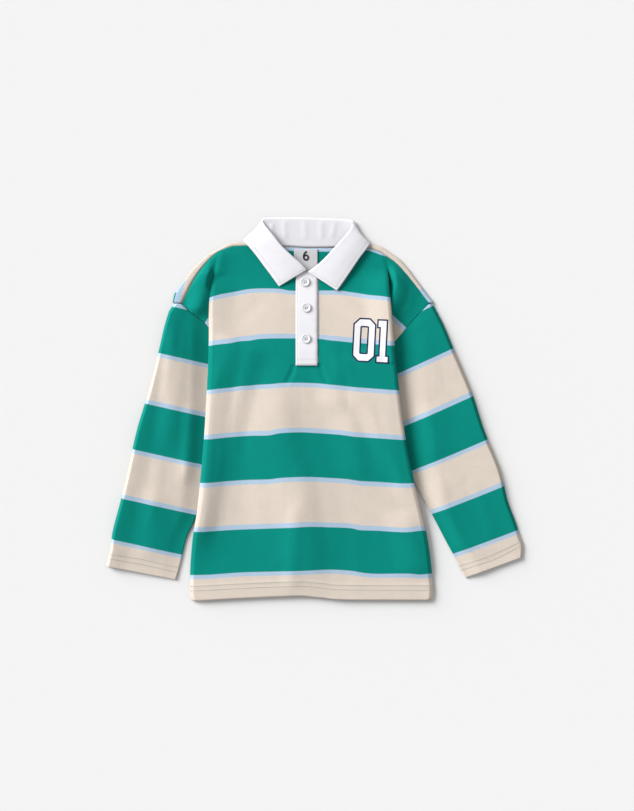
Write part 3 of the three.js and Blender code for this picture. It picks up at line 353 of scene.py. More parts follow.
FRONT_FALLS = [
    {"line": [(-108, 124), (-114, 90), (-124, 35), (-133, -43), (-140, -100), (-149, -157), (-157, -230)],
     "half": 14, "shelf": 60, "drop": 6.0},
    {"line": [(-30, 62), (-34, 20), (-24, -60), (-10, -93), (-1, -152), (6, -190), (11, -264)],
     "half": 16, "shelf": 90, "drop": 5.0},
    {"line": [(-14, -120), (-20, -170), (-25, -262)], "half": 9, "shelf": 20, "drop": 1.8},
    {"line": [(26, 104), (33, 80), (38, 42), (43, -6)], "half": 9, "shelf": 36, "drop": 2.9},
    {"line": [(62, 30), (70, -40), (82, -110)], "half": 14, "shelf": 40, "drop": 2.2},
    {"line": [(136, -140), (148, -180), (160, -240)], "half": 12, "shelf": 40, "drop": 3.4},
    {"line": [(-129, 226), (-128, 210), (-132, 188)], "half": 8, "shelf": 20, "drop": 2.4},
]
WING_FALLS = [
    {"line": [(-139, 208), (-142, 199), (-147, 186), (-151, 166), (-158, 140), (-160, 130)],
     "half": 8, "shelf": 26, "drop": 7.5},
    {"line": [(109, 208), (114, 198), (125, 180), (122, 156), (113, 140), (106, 126)],
     "half": 11, "shelf": 34, "drop": 8.5},
]
SLEEVE_FALLS = [
    {"line": [(-190, 140), (-185, 77), (-188, 30), (-193, -11), (-196, -60)], "half": 11, "shelf": 26,
     "drop": 3.2},
    {"line": [(-163, 10), (-166, -60), (-174, -110)], "half": 10, "shelf": 20, "drop": 2.2},
    {"line": [(-216, -110), (-212, -160), (-218, -214)], "half": 14, "shelf": 30, "drop": 2.0},
    {"line": [(168, 10), (178, -29), (186, -70)], "half": 13, "shelf": 30, "drop": 2.4},
    {"line": [(178, -90), (181, -120), (194, -153), (214, -210)], "half": 14, "shelf": 30, "drop": 2.4},
]

# How far the soft front stands over its solid, at its folded sides and along its middle

BODY_RISE = eased(table("y left middle right", [
    (-273, 0.0, 0.4, 0.4),
    (-200, 0.4, 2.4, 2.2),
    (-130, 0.8, 4.8, 5.0),
    (-60, 1.2, 6.2, 7.8),
    (20, 1.4, 6.8, 9.2),
    (96, 1.4, 6.2, 8.8),
    (150, 0.8, 3.8, 6.8),
    (180, 0.2, 1.4, 4.2),
    (204, 0.0, 0.0, 1.4),
    (232, 0.0, 0.0, 0.0),
]))
RISE_REACH = 105

# The soft sleeves over their solids: the whole sleeve, its upright outer fold, and its lean

SLEEVE_SWELL = 1.8
SLEEVE_FOLDS = {
    "sleeve_left": {"edge": 3, "crest": 2.0, "crest_end": 30, "lean": 4.0, "near": 0, "far": 26},
    "sleeve_right": {"edge": 3, "crest": 1.0, "crest_end": 44, "lean": -3.0, "near": 4, "far": 42},
}

# Where the stripes change colour on the body, from the hem up, and the even spacing that they had before
# the cloth was laid out

STRIPE_REPEAT = 133.3
STRIPE_EDGES = {"first_blue": 5.9, "green": 67.9, "second_blue": 74.9}
BODY_STRIPES = table("y cloth", [
    (-267.4, -31.0), (-236.4, 0.0), (-228.6, 8.25), (-170.4, 66.65), (-162.6, 74.9), (-105.8, 133.3),
    (-96.8, 141.55), (-38.3, 199.95), (-30.5, 208.2), (27.7, 266.6), (36.2, 274.85), (96.3, 333.25),
    (104.4, 341.5), (164.7, 399.9), (173.2, 408.15), (229.3, 466.55), (236.4, 474.8), (300.0, 538.4),
])
LEFT_SLEEVE_STRIPES = table("y cloth", [
    (-250.0, -309.3), (-207.3, -266.6), (-200.2, -258.35), (-142.3, -199.95), (-134.9, -191.7),
    (-73.8, -133.3), (-65.6, -125.05), (-0.3, -66.65), (7.1, -58.4), (71.0, 0.0), (78.8, 8.25),
    (145.0, 66.65), (156.0, 74.9),
])
RIGHT_SLEEVE_STRIPES = table("y cloth", [
    (-260.0, -309.0), (-217.0, -266.6), (-209.0, -258.35), (-145.1, -199.95), (-137.3, -191.7),
    (-76.4, -133.3), (-68.4, -125.05), (-3.1, -66.65), (5.7, -58.4), (71.7, 0.0), (80.9, 8.25),
    (151.5, 67.9), (162.0, 74.0),
])
LEFT_SLEEVE_SLOPE = {"x": -205.9, "upper": 0.225, "lower": 0.225}
RIGHT_SLEEVE_SLOPE = {"x": 177.5, "upper": -0.46, "lower": -0.36}

# How far each stripe bows below its height at the measuring line, by place across the body

STRIPE_BOW = {
    229.3: [(-149, 9.5), (-140, 5.8), (-121, -1.4), (-99, -4.7), (-60, 0), (36, 2.7), (50, 3.2), (78, 5.3),
            (94, 11.3), (107, 16)],
    173.2: [(-149, 13.3), (-135, 8.4), (-121, 5.5), (-107, 2.7), (-92, 0), (-50, 0), (-36, 2.7),
            (36, 2.7), (50, 4.8), (64, 7), (78, 9.8), (92, 11.2), (107, 14)],
    96.3: [(-149, 7.5), (-135, 5.4), (-121, 4), (-107, 1.1), (-92, 0), (-78, -2.4), (7, -2.4),
           (21, -0.3), (36, 1.1), (50, 2.6), (92, 6.1), (107, 7.5)],
    -38.3: [(-149, 5), (-121, 2.1), (-92, 0), (-64, -0.7), (-50, -3.6), (-21, -5), (7, -3.6),
            (36, -1.4), (57, 1.4), (78, 2.8), (121, 5.7)],
    -170.4: [(-156, 3.6), (-107, 0.7), (-71, -0.7), (-36, -2.1), (-7, -3.6), (17, -2.8), (50, -1.4),
             (64, 1.4), (85, 2.1), (128, 4.3), (149, 2.1)],
    -228.6: [(-170, 3.6), (-149, 3.1), (-107, 0), (-64, -1.4), (-13, -2.8), (21, -4.3), (50, -2.6),
             (78, 1.4), (135, 1.4), (149, 2.8), (163, 1.4)],
    -267.4: [(-175, 4.5), (-149, 3.1), (-116, 0.7), (-78, -0.4), (-14, -2.6), (7, -3.6), (28, -3),
             (45, -0.7), (75, 1.1), (111, 2.3), (162, 2.6)],
}

# The print on the chest: block figures, measured from the middle of each one

FIGURES = {"turn": 3.0, "outline": 2.2}
RING_FIGURE = {"x": 69.4, "y": 98.1, "half_wide": 16.4, "half_high": 31.4, "chamfer": 8.6,
               "hole_wide": 4.0, "hole_high": 17.8, "hole_chamfer": 0.2}
BAR_FIGURE = {"x": 95.9, "y": 96.0, "stem": 6.0, "half_high": 31.3, "foot_wide": 9.8, "foot_high": 11.9,
              "flag_out": 3.5, "flag_high": 13.2}

# Rows of stitches, as places along each row

COLLAR_INSET = 5.5
HEM_ROWS = (14.0, 20.5)
CUFF_ROWS = [
    [(-289.7, -205.2), (-247.0, -212.3), (-194.5, -224.1)],
    [(-291.1, -211.4), (-241.4, -220.5), (-195.4, -231.3)],
    [(204.5, -222.2), (246.2, -208.7), (290.7, -187.9)],
    [(208.2, -227.9), (255.3, -212.3), (292.5, -193.3)],
]


# Heights of the layers


def body_left(y):
    return look_up(BODY_EDGES, "y", y, "left")


def body_right(y):
    return look_up(BODY_EDGES, "y", y, "right")


def inner_edge(armhole, sleeve):
    """The inner edge of a sleeve from its cuff up to its armhole, as heights and places."""
    return [np.concatenate([[armhole[axis][-1]], sleeve["inner_" + axis]])[::-1] for axis in ("y", "x")]


ARMHOLE_ROW = joined(part_of(LEFT_ARMHOLE, 4, None), turned(part_of(RIGHT_ARMHOLE, 4, None)))
LEFT_INNER = inner_edge(LEFT_ARMHOLE, LEFT_SLEEVE)
RIGHT_INNER = inner_edge(RIGHT_ARMHOLE, RIGHT_SLEEVE)


def over_sleeve(x, y):
    """1 where a sleeve lies under the body, falling to 0 towards the middle of the body."""
    left_edge = np.interp(y, *LEFT_INNER)
    right_edge = np.interp(y, *RIGHT_INNER)
    left = smooth(LIFT_RAMP, LIFT_HOLD, x - left_edge) * smooth(*LEFT_LEAVES, y)
    right = smooth(LIFT_RAMP, LIFT_HOLD, right_edge - x) * smooth(*RIGHT_LEAVES, y)
    return np.maximum(left, right)


def armhole_height(x):
    return look_up(ARMHOLE_ROW, "x", x, "y")


def back_height(x, y):
    """How far the back's lower face is lifted by the sleeves under it."""
    above = y - armhole_height(x)
    inward = np.minimum(
        smooth(LEFT_ARMHOLE["x"][5], LEFT_ARMHOLE["x"][6], x),
        smooth(RIGHT_ARMHOLE["x"][5], RIGHT_ARMHOLE["x"][6], x),
    )
    lower = over_sleeve(x, y)
    upper = over_sleeve(x, y - above) * inward * smooth(LIFT_FADE, 0, above)
    return SLEEVE_LIFT * np.where(above <= 0.01, lower, upper)


def pleat_rise(x, y):
    """How far the front is lifted by the tucked shoulder under each of its sides."""
    rises = []
    for side, inward in (("left", x - body_left(y)), ("right", body_right(y) - x)):
        share = smooth(PLEAT[side], PLEAT[side] - PLEAT["ramp"], y)
        share = share * smooth(PLEAT["reach"], 0, inward) * (y > PLEAT_END[side] - PLEAT["below"])
        rises.append(PLEAT[side + "_rise"] * share)
    return np.maximum(*rises)


# The share of a line over which a crease or a fall begins and ends, and how the drop of a fall mixes a
# steep and a gentle slope

CREASE_ENDS = {"start": 0.22, "end": 0.78}
FALL_ENDS = {"start": -0.04, "full": 0.24, "fade": 0.8, "end": 1.04}
FALL_SLOPE = {"outward": 2.8, "inward": 0.6, "steep": 0.55}
LINE_PIECES = 3


def crease_height(creases, x, y):
    """The sum of soft troughs and ridges that follow given lines."""
    total = np.zeros_like(x)
    for crease in creases:
        line = np.array(crease["line"], dtype=float)
        line = blend_points(line, np.linspace(0, 1, LINE_PIECES * len(line)))
        nearest = np.full(x.shape, 1e9)
        place = np.zeros_like(x)
        for index, (start, end) in enumerate(zip(line[:-1], line[1:])):
            reach = end - start
            t = ((x - start[0]) * reach[0] + (y - start[1]) * reach[1]) / (reach @ reach)
            t = np.clip(t, 0, 1)
            away = np.hypot(x - start[0] - t * reach[0], y - start[1] - t * reach[1])
            closer = away < nearest
            nearest = np.where(closer, away, nearest)
            place = np.where(closer, (index + t) / (len(line) - 1), place)
        ends = smooth(0, CREASE_ENDS["start"], place) * smooth(1, CREASE_ENDS["end"], place)
        total += crease["rise"] * ends * smooth(crease["half"], 0, nearest)
    return total


def fall_height(falls, x, y):
    """Drops towards the viewer's right along given lines that run from top to bottom."""
    total = np.zeros_like(x)
    for fall in falls:
        line = np.array(fall["line"], dtype=float)
        line = blend_points(line, np.linspace(0, 1, LINE_PIECES * len(line)))
        order = np.argsort(line[:, 1])
        centre = np.interp(y, line[order, 1], line[order, 0])
        length = line[-1, 1] - line[0, 1]
        place = (y - line[0, 1]) / length
        ends = smooth(FALL_ENDS["start"], FALL_ENDS["full"], place)
        ends = ends * smooth(FALL_ENDS["end"], FALL_ENDS["fade"], place)
        away = x - centre
        half, shelf = fall["half"], fall["shelf"]
        steep = smooth(half, -half, away)
        gentle = smooth(FALL_SLOPE["outward"] * half, -FALL_SLOPE["inward"] * half, away)
        slope = mix(gentle, steep, FALL_SLOPE["steep"])
        total += fall["drop"] * ends * slope * smooth(-half - shelf, -half, away)
    return total


def body_rise(x, y):
    """How far the loosely laid front stands over its solid."""
    middle = look_up(BODY_RISE, "y", y, "middle")
    left = (look_up(BODY_RISE, "y", y, "left") - middle) * smooth(RISE_REACH, 0, x - body_left(y))
    right = (look_up(BODY_RISE, "y", y, "right") - middle) * smooth(RISE_REACH, 0, body_right(y) - x)
    return middle + left + right


# The wide and the fine waves of cloth laid by hand

WIDE_DRIFT = {"rise": 0.22, "across": 31, "up": 57, "bend": 1.7, "bend_up": 83, "start": 0.8}
FINE_DRIFT = {"rise": 0.12, "across": 13, "slant": 21, "up": 37, "start": 1.3}
SLEEVE_SHIFT = {"x": 40, "y": -20}


def drift(x, y):
    """A faint unevenness of hand-laid cloth."""
    wide, fine = WIDE_DRIFT, FINE_DRIFT
    bend = wide["bend"] * np.sin(y / wide["bend_up"])
    waves = np.sin(x / wide["across"] + bend) * np.sin(y / wide["up"] + wide["start"])
    small = fine["rise"] * np.sin(x / fine["across"] + y / fine["slant"] + fine["start"])
    return wide["rise"] * waves + small * np.sin(y / fine["up"])


def hem_height(x, y):
    """How far a place is above the hem's edge."""
    across = (x - body_left(y)) / (body_right(y) - body_left(y))
    return y - look_up(HEM_LINE, "across", across, "y")


def hem_wall(x, y):
    """The wall of a body panel, thicker where its hem is turned up."""
    return JERSEY + TURN_EXTRA * smooth(HEM_DEPTH + HEM_WALL_STEP, HEM_DEPTH, hem_height(x, y))


def front_face(x, y):
    """The height of the front panel's outer face."""
    above = y - armhole_height(x)
    lift = SLEEVE_LIFT * over_sleeve(x, np.minimum(y, y - above)) * smooth(LIFT_FADE, 0, above)
    raised = np.maximum(lift, pleat_rise(x, y))
    from_side = np.minimum(x - body_left(y), body_right(y) - x)
    space = mix(BODY_SPACE + SOFT_PUFF, NECK_SPACE, smooth(*NECK_RANGE, y))
    side = smooth(0, EDGE_ROUND, from_side)
    falls = fall_height(FRONT_FALLS, x, y)
    falls = falls * smooth(0, FALL_SIDE["width"], from_side + FALL_SIDE["past"])
    folds = crease_height(FRONT_CREASES, x, y) + drift(x, y)
    puff = np.maximum(0, (space + folds) * side) + falls + body_rise(x, y)
    from_hem = hem_height(x, y)
    hem = TURN_EXTRA * smooth(HEM_DEPTH + HEM_STEP, HEM_DEPTH, from_hem)
    from_rows = np.abs(from_hem - sum(HEM_ROWS) / 2)
    groove = HEM_GROOVE["depth"] * smooth(HEM_GROOVE["half"], 0, from_rows)
    shoulder = smooth(*SHOULDER_RANGE, y) * (SHOULDER_TOP - 2 * JERSEY - EDGE_SPACE) * (1 - side)
    return 2 * JERSEY + EDGE_SPACE + raised + puff + hem - groove + shoulder


# The cloth's own coordinates, in which the stripes are even


BOW_PIECES = 8
SLEEVE_LEAN_RANGE = (-220, 80)


def bow_at(places, x):
    line = blend_points(places, np.linspace(0, 1, BOW_PIECES * len(places)))
    return np.interp(x, line[:, 0], line[:, 1])


def body_cloth(x, y):
    """The cloth's coordinates on the body, where every stripe has its own bow."""
    levels = sorted(STRIPE_BOW)
    bows = np.array([bow_at(STRIPE_BOW[level], x) for level in levels])
    total = np.zeros_like(x)
    weight = np.interp(y, levels, np.arange(len(levels)))
    for index in range(len(levels)):
        total += np.clip(1 - np.abs(weight - index), 0, 1) * bows[index]
    return np.stack([x, np.interp(y + total, BODY_STRIPES["y"], BODY_STRIPES["cloth"])], axis=-1)


def sloped_cloth(x, y, stripes, slope):
    """The cloth's coordinates on a sleeve, whose stripes are straight and lean."""
    lean = mix(slope["lower"], slope["upper"], smooth(*SLEEVE_LEAN_RANGE, y))
    level = y + lean * (x - slope["x"])
    return np.stack([x, np.interp(level, stripes["y"], stripes["cloth"])], axis=-1)


def line_cloth(x, y, start, outward, level, low, high):
    """Stripes that follow a straight line, counted from the line outwards."""
    away = (x - start[0]) * outward[0] + (y - start[1]) * outward[1]
    return np.stack([x, np.clip(level + away, low, high)], axis=-1)


LEFT_WING_STRIPES = {"start": (-159.0, 123.0), "outward": (-0.84, 0.55), "level": 408.15,
                     "low": 395.0, "high": 466.0}
RIGHT_WING_STRIPES = {"start": (110.3, 137.0), "outward": (0.68, 0.73), "level": 408.15,
                      "low": 380.0, "high": 466.0}
STRIP_EDGE_LEVEL = 471.0
LEFT_STRIP_STRIPES = {"start": (-191.8, 151.2), "outward": (0.82, -0.21), "level": 474.8,
                      "low": 440.0, "high": 530.0}
RIGHT_STRIP_STRIPES = {"start": (151.0, 172.0), "outward": (-1.0, 0.5), "level": 474.8,
                       "low": 469.0, "high": 530.0}


# Meshes


def row_place(points):
    """From the tables' millimetres to the row's metres."""
    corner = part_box("placket_top")[0]
    shift = np.array([corner.x - PLACKET["left"] * MM, corner.y - PLACKET["bottom"] * MM, 0.0])
    return np.asarray(points, dtype=float) * MM + shift


def patch(points, cloth, wall=JERSEY):
    shape = points.shape[:2]
    return {"points": points, "cloth": cloth, "wall": np.broadcast_to(wall, shape)}


def quads_of(shape, offset):
    """Two triangles for every square of a grid of points."""
    rows, columns = shape
    index = np.arange(rows * columns).reshape(rows, columns) + offset
    a, b = index[:-1, :-1].ravel(), index[:-1, 1:].ravel()
    c, d = index[1:, 1:].ravel(), index[1:, :-1].ravel()
    return np.concatenate([np.stack([a, b, c], 1), np.stack([a, c, d], 1)])


def cloth_shell(name, patches, material, reverse=False):
    """A closed wall of cloth from patches of its outer face, joined wherever they meet."""
    points = np.concatenate([item["points"].reshape(-1, 3) for item in patches])
    cloth = np.concatenate([item["cloth"].reshape(-1, 2) for item in patches])
    wall = np.concatenate([item["wall"].reshape(-1) for item in patches])
    shapes = [item["points"].shape[:2] for item in patches]
    offsets = np.cumsum([0] + [rows * columns for rows, columns in shapes])
    triangles = np.concatenate([quads_of(shape, offset) for shape, offset in zip(shapes, offsets)])
    keys = np.round(points / JOIN).astype(np.int64)
    _, first, same = np.unique(keys, axis=0, return_index=True, return_inverse=True)
    same = np.asarray(same).ravel()
    points, cloth, wall = points[first], cloth[first], wall[first]
    triangles = same[triangles]
    a, b, c = triangles.T
    triangles = triangles[(a != b) & (b != c) & (c != a)]
    if reverse:
        triangles = triangles[:, ::-1]
    a, b, c = (points[column] for column in triangles.T)
    normals = np.zeros_like(points)
    for column in triangles.T:
        np.add.at(normals, column, np.cross(b - a, c - a))
    normals /= np.maximum(np.linalg.norm(normals, axis=1), 1e-9)[:, None]
    lining = points - normals * wall[:, None]
    count = len(points)
    edges = np.concatenate([triangles[:, [0, 1]], triangles[:, [1, 2]], triangles[:, [2, 0]]])
    codes = edges[:, 0] * count + edges[:, 1]
    back = edges[:, 1] * count + edges[:, 0]
    free = edges[~np.isin(codes, back)]
    start, end = free.T
    faces = np.concatenate([
        triangles,
        triangles[:, ::-1] + count,
        np.stack([start, start + count, end + count], 1),
        np.stack([start, end + count, end], 1),
    ])
    return add_mesh(name, np.vstack([points, lining]), faces, material, np.vstack([cloth, cloth]))


def add_mesh(name, points, faces, material, cloth=None, smooth_faces=True):
    mesh = bpy.data.meshes.new(name)
    mesh.from_pydata(row_place(points).tolist(), [], [tuple(int(index) for index in face) for face in faces])
    if cloth is not None:
        attribute = mesh.attributes.new("cloth", "FLOAT2", "POINT")
        attribute.data.foreach_set("vector", (np.asarray(cloth) * MM).astype(np.float32).ravel())
    mesh.materials.append(material)
    mesh.polygons.foreach_set("use_smooth", [smooth_faces] * len(mesh.polygons))
    mesh.update()
    return link(name, mesh)


def link(name, mesh):
    piece = bpy.data.objects.new(name, mesh)
    bpy.context.scene.collection.objects.link(piece)
    return piece


def ride_along(piece):
    """Lets a piece follow the shirt."""
    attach(piece, "root")


def take_place(piece, nodes):
    """Puts a finished piece in the place of its plain solids."""
    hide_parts(*nodes)
    ride_along(piece)


# Node trees


class Socket:
    """A node's output that takes part in Python expressions."""

    def __init__(self, board, socket):
        self.board = board
        self.socket = socket

    def math(self, operation, *values, clamp=False):
        settings = {"operation": operation, "use_clamp": clamp}
        return self.board.add("ShaderNodeMath", settings, dict(enumerate(values)))

    def __add__(self, other):
        return self.math("ADD", self, other)

    def __radd__(self, other):
        return self.math("ADD", other, self)

    def __sub__(self, other):
        return self.math("SUBTRACT", self, other)

    def __rsub__(self, other):
        return self.math("SUBTRACT", other, self)

    def __mul__(self, other):
        return self.math("MULTIPLY", self, other)

    def __rmul__(self, other):
        return self.math("MULTIPLY", other, self)

    def __truediv__(self, other):
        return self.math("DIVIDE", self, other)

    def __neg__(self):
        return self.math("MULTIPLY", self, -1.0)

    def __abs__(self):
        return self.math("ABSOLUTE", self)

    def over(self, level, width):
        """0 below the level and 1 above it."""
        return self.math("ADD", (self - level) / width, 0.5, clamp=True)

    def repeat(self, length):
        return self.math("FLOORED_MODULO", self, length)

    def wave(self, length):
        return self.math("SINE", self * (2 * math.pi / length))

    def least(self, other):
        return self.math("MINIMUM", self, other)

    def most(self, other):
        return self.math("MAXIMUM", self, other)


class Board:
    """One node tree. A node is added by its type, its settings, and its sockets' values or links."""

    def __init__(self, tree):
        self.tree = tree
        tree.nodes.clear()

    def add(self, kind, settings=None, inputs=None, output=0):
        node = self.tree.nodes.new(kind)
        for key, value in (settings or {}).items():
            setattr(node, key, value)
        for key, value in (inputs or {}).items():
            if isinstance(value, Socket):
                self.tree.links.new(value.socket, node.inputs[key])
            else:
                node.inputs[key].default_value = value
        if not len(node.outputs):
            return node
        return Socket(self, node.outputs[output])

    def parts(self, vector):
        first = self.add("ShaderNodeSeparateXYZ", None, {0: vector})
        return [Socket(self, output) for output in first.socket.node.outputs]

    def shade(self, first, second, factor):
        """One colour laid over another by a factor."""
        settings = {"data_type": "RGBA"}
        return self.add("ShaderNodeMix", settings, {0: factor, 6: first, 7: second}, output=2)

    def scaled(self, shade, factor):
        shade = shade if isinstance(shade, Socket) else shade[:3]
        return self.add("ShaderNodeVectorMath", {"operation": "SCALE"}, {0: shade, "Scale": factor})

    def noise(self, vector, scale, detail=2.0):
        inputs = {"Vector": vector, "Scale": scale, "Detail": detail}
        return self.add("ShaderNodeTexNoise", None, inputs)

    def cloth(self):
        """The cloth's own coordinates, and the distances across and up it."""
        place = self.add("ShaderNodeAttribute", {"attribute_name": "cloth"}, None, output="Vector")
        across, up, _ = self.parts(place)
        return place, across, up

    def spot(self):
        """The place on the object."""
        return self.add("ShaderNodeTexCoord", None, None, output="Object")


# The pitch of the knit, of the twill's ribs and of the satin's weft, and how soft printed edges are

WALE = 1.25
COURSE = 0.95
RIB = 1.3
WEFT = 0.7
STRIPE_SOFTNESS = 0.5
PRINT_SOFTNESS = 0.35


def colour(red, green, blue):
    """An sRGB colour out of 255 as the linear colour that a shader takes."""
    def channel(value):
        value /= 255
        return value / 12.92 if value <= 0.04045 else ((value + 0.055) / 1.055) ** 2.4
    return (channel(red), channel(green), channel(blue), 1.0)


def new_material(name):
    material = bpy.data.materials.new(name)
    material.use_nodes = True
    return material, Board(material.node_tree)


def close_material(board, base, roughness, height=None, depth=0.0003, **constants):
    inputs = {"Base Color": base, "Roughness": roughness}
    if height is not None:
        bump = {"Strength": 1.0, "Distance": depth, "Height": height}
        inputs["Normal"] = board.add("ShaderNodeBump", None, bump)
    inputs.update({name.replace("_", " "): value for name, value in constants.items()})
    shader = board.add("ShaderNodeBsdfPrincipled", None, inputs)
    board.add("ShaderNodeOutputMaterial", None, {"Surface": shader})


def block(x, y, half_wide, half_high):
    """How far a place is outside an upright rectangle: below 0 inside it."""
    return (abs(x) - half_wide).most(abs(y) - half_high)


def cut_block(x, y, half_wide, half_high, chamfer):
    """The same for a rectangle with cut corners."""
    corner = (abs(x) + abs(y) - (half_wide + half_high - chamfer)) * math.sqrt(0.5)
    return block(x, y, half_wide, half_high).most(corner)


def figure_distance(board):
    """How far a place on the chest is outside the block figures."""
    across, up, _ = board.parts(board.spot())
    lean = math.radians(FIGURES["turn"])
    cos, sin = math.cos(lean), math.sin(lean)

    def own(figure):
        place = row_place([figure["x"], figure["y"], 0])
        x, y = (across - float(place[0])) / MM, (up - float(place[1])) / MM
        return x * cos - y * sin, x * sin + y * cos

    ring = RING_FIGURE
    x, y = own(ring)
    outside = cut_block(x, y, ring["half_wide"], ring["half_high"], ring["chamfer"])
    hole = cut_block(x, y, ring["hole_wide"], ring["hole_high"], ring["hole_chamfer"])
    ring_distance = outside.most(-hole)
    bar = BAR_FIGURE
    x, y = own(bar)
    stem = block(x, y, bar["stem"], bar["half_high"])
    foot = block(x, y + (bar["half_high"] - bar["foot_high"] / 2), bar["foot_wide"], bar["foot_high"] / 2)
    flag_x = x + bar["flag_out"] / 2
    flag_y = y - (bar["half_high"] - bar["flag_high"] / 2)
    flag = block(flag_x, flag_y, bar["stem"] + bar["flag_out"] / 2, bar["flag_high"] / 2)
    return ring_distance.least(stem.least(foot).least(flag))


def jersey_material(name, colours, printed=False):
    """Striped knit. The stripes follow the cloth's own coordinates."""
    material, board = new_material(name)
    cloth, across, up = board.cloth()
    fuzz = board.noise(cloth, 700.0)
    level = ((up + (fuzz - 0.5) * 0.0006) / MM).repeat(STRIPE_REPEAT)
    low, middle, high = (level.over(edge, STRIPE_SOFTNESS) for edge in STRIPE_EDGES.values())
    base = board.shade(tuple(colours.blue), tuple(colours.green), low)
    base = board.shade(base, tuple(colours.blue), middle)
    base = board.shade(base, tuple(colours.beige), high)
    mottle = board.noise(cloth, 420.0, 3.0) * 0.16 + board.noise(cloth, 55.0) * 0.1 + 0.87
    base = board.scaled(base, mottle)
    wales = across.wave(WALE * MM) * 0.4 + up.wave(COURSE * MM) * 0.3
    height = wales + board.noise(cloth, 1400.0) * 0.9
    roughness = 0.86
    if printed:
        distance = figure_distance(board)
        ink = 1 - distance.over(0.0, PRINT_SOFTNESS)
        white = 1 - distance.over(-FIGURES["outline"], PRINT_SOFTNESS)
        figure = board.shade(tuple(colours.outline), tuple(colours.figure), white)
        base = board.shade(base, figure, ink)
        height = height * (1 - ink * 0.75) + ink * 0.8
        roughness = 0.86 - ink * 0.24
    close_material(board, base, roughness, height, 0.00022,
                   Sheen_Weight=0.03, Sheen_Roughness=0.5, Specular_IOR_Level=0.08)
    return material


def twill_material(name, shade):
    """White cotton twill with its slanted ribs, and faint painted shade in the grooves between them."""
    material, board = new_material(name)
    cloth, across, up = board.cloth()
    ribs = (across + up * 0.8).wave(RIB * MM)
    # The rib wave also lightens the colour on the ribs and darkens it in the grooves between them: a faint
    # painted shade of the ribs, added to the random tone.
    tone = board.noise(cloth, 90.0) * 0.05 + 0.965 + ribs * 0.012
    height = ribs * 0.5 + board.noise(cloth, 1200.0) * 0.6
    close_material(board, board.scaled(tuple(shade), tone), 0.8, height, 0.00016,
                   Sheen_Weight=0.05, Specular_IOR_Level=0.15)
    return material


def satin_material(name, shade):
    """Satin ribbon with its fine weft."""
    material, board = new_material(name)
    cloth, _, up = board.cloth()
    weft = up.wave(WEFT * MM)
    tone = board.noise(cloth, 60.0) * 0.1 + 0.93
    close_material(board, board.scaled(tuple(shade), tone), 0.42, weft, 0.00005,
                   Specular_IOR_Level=0.5)
    return material


def plain_material(name, shade, roughness, grain=0.0, **constants):
    """One even finish with a faint grain."""
    material, board = new_material(name)
    tone = board.noise(board.spot(), 300.0) * grain + (1 - grain / 2)
    close_material(board, board.scaled(tuple(shade), tone), roughness, **constants)
    return material


# The front and the back


def edge_roll(points, side, radius):
    """Columns that carry a panel's edge round towards the layer below, from the outside in."""
    edge = points[:, 0 if side < 0 else -1]
    columns = []
    for angle in ROLL_ANGLES:
        column = edge.copy()
        column[:, 0] += side * radius * np.sin(angle)
        column[:, 2] -= radius * (1 - np.cos(angle))
        columns.append(column)
    order = columns if side < 0 else columns[::-1]
    return np.stack(order, axis=1)


def roll_radius(y, x, z, side):
    """Half the height between the front's face and the layer that its folded edge rests on."""
    apex, crossing = PLEAT[side], PLEAT_END[side]
    in_pleat = smooth(crossing - PLEAT_MEET, crossing + PLEAT_MEET, y)
    rest = mix(back_height(x, y), WING_LEVEL[side], in_pleat)
    return np.maximum(0, (z - rest) / 2 - ROLL_GAP) * smooth(apex, apex - ROLL_FADE, y) * (y < apex)


def graded(count, ends=0.35):
    """Fractions from 0 to 1, closer together at both ends."""
    t = np.linspace(0, 1, count)
    return mix(t, 0.5 - 0.5 * np.cos(np.pi * t), ends)


# How far up each panel its columns begin to spread towards the neck and the shoulders, and how much closer
# the front's rows lie at its hem and its top

FRONT_SPREAD = 0.55
BACK_SPREAD = 0.5
ROW_GRADING = 0.2


def front_main(columns, rows):
    """The front between its folded sides, and the radius of the fold on each side."""
    u = graded(columns)[None, :]
    v = graded(rows, ROW_GRADING)[:, None]
    hem_y = look_up(HEM_LINE, "across", u, "y")
    top_x, top_y = along(FRONT_TOP, u)
    y = mix(hem_y, top_y, v)
    top_share = (top_x - body_left(top_y)) / (body_right(top_y) - body_left(top_y))
    share = mix(u, top_share, smooth(FRONT_SPREAD, 1, v))
    left, right = body_left(y), body_right(y)
    x = mix(left, right, share)
    rolls = {}
    for side, edge, apex in ((-1, left, "left"), (1, right, "right")):
        index = 0 if side < 0 else -1
        edge_y = y[:, index]
        edge_x = edge[:, index]
        edge_z = front_face(edge_x, edge_y)
        radius = roll_radius(edge_y, edge_x, edge_z, apex)
        away = np.abs(x - edge)
        inward = radius[:, None] + away * (ROLL_WIDTH - radius[:, None]) / ROLL_WIDTH
        x = np.where(away < ROLL_WIDTH, edge - side * inward, x)
        rolls[side] = radius
    z = front_face(x, y)
    return np.stack([x, y, z], axis=-1), rolls


TUCK = table("drop under height", [
    (1.0, 12, 1.55), (0.78, 12, 1.55), (0.56, 11, 1.6), (0.36, 7, 1.7), (0.19, -0.45, 1.85),
])
TUCK_FADE = (0.04, 0.3)
TUCK_TURN = {"start": 0.8, "lean": 0.72}
WING_FADE = {"rise": 0.6, "in": 0.15, "out": 0.72, "top": 0.86}


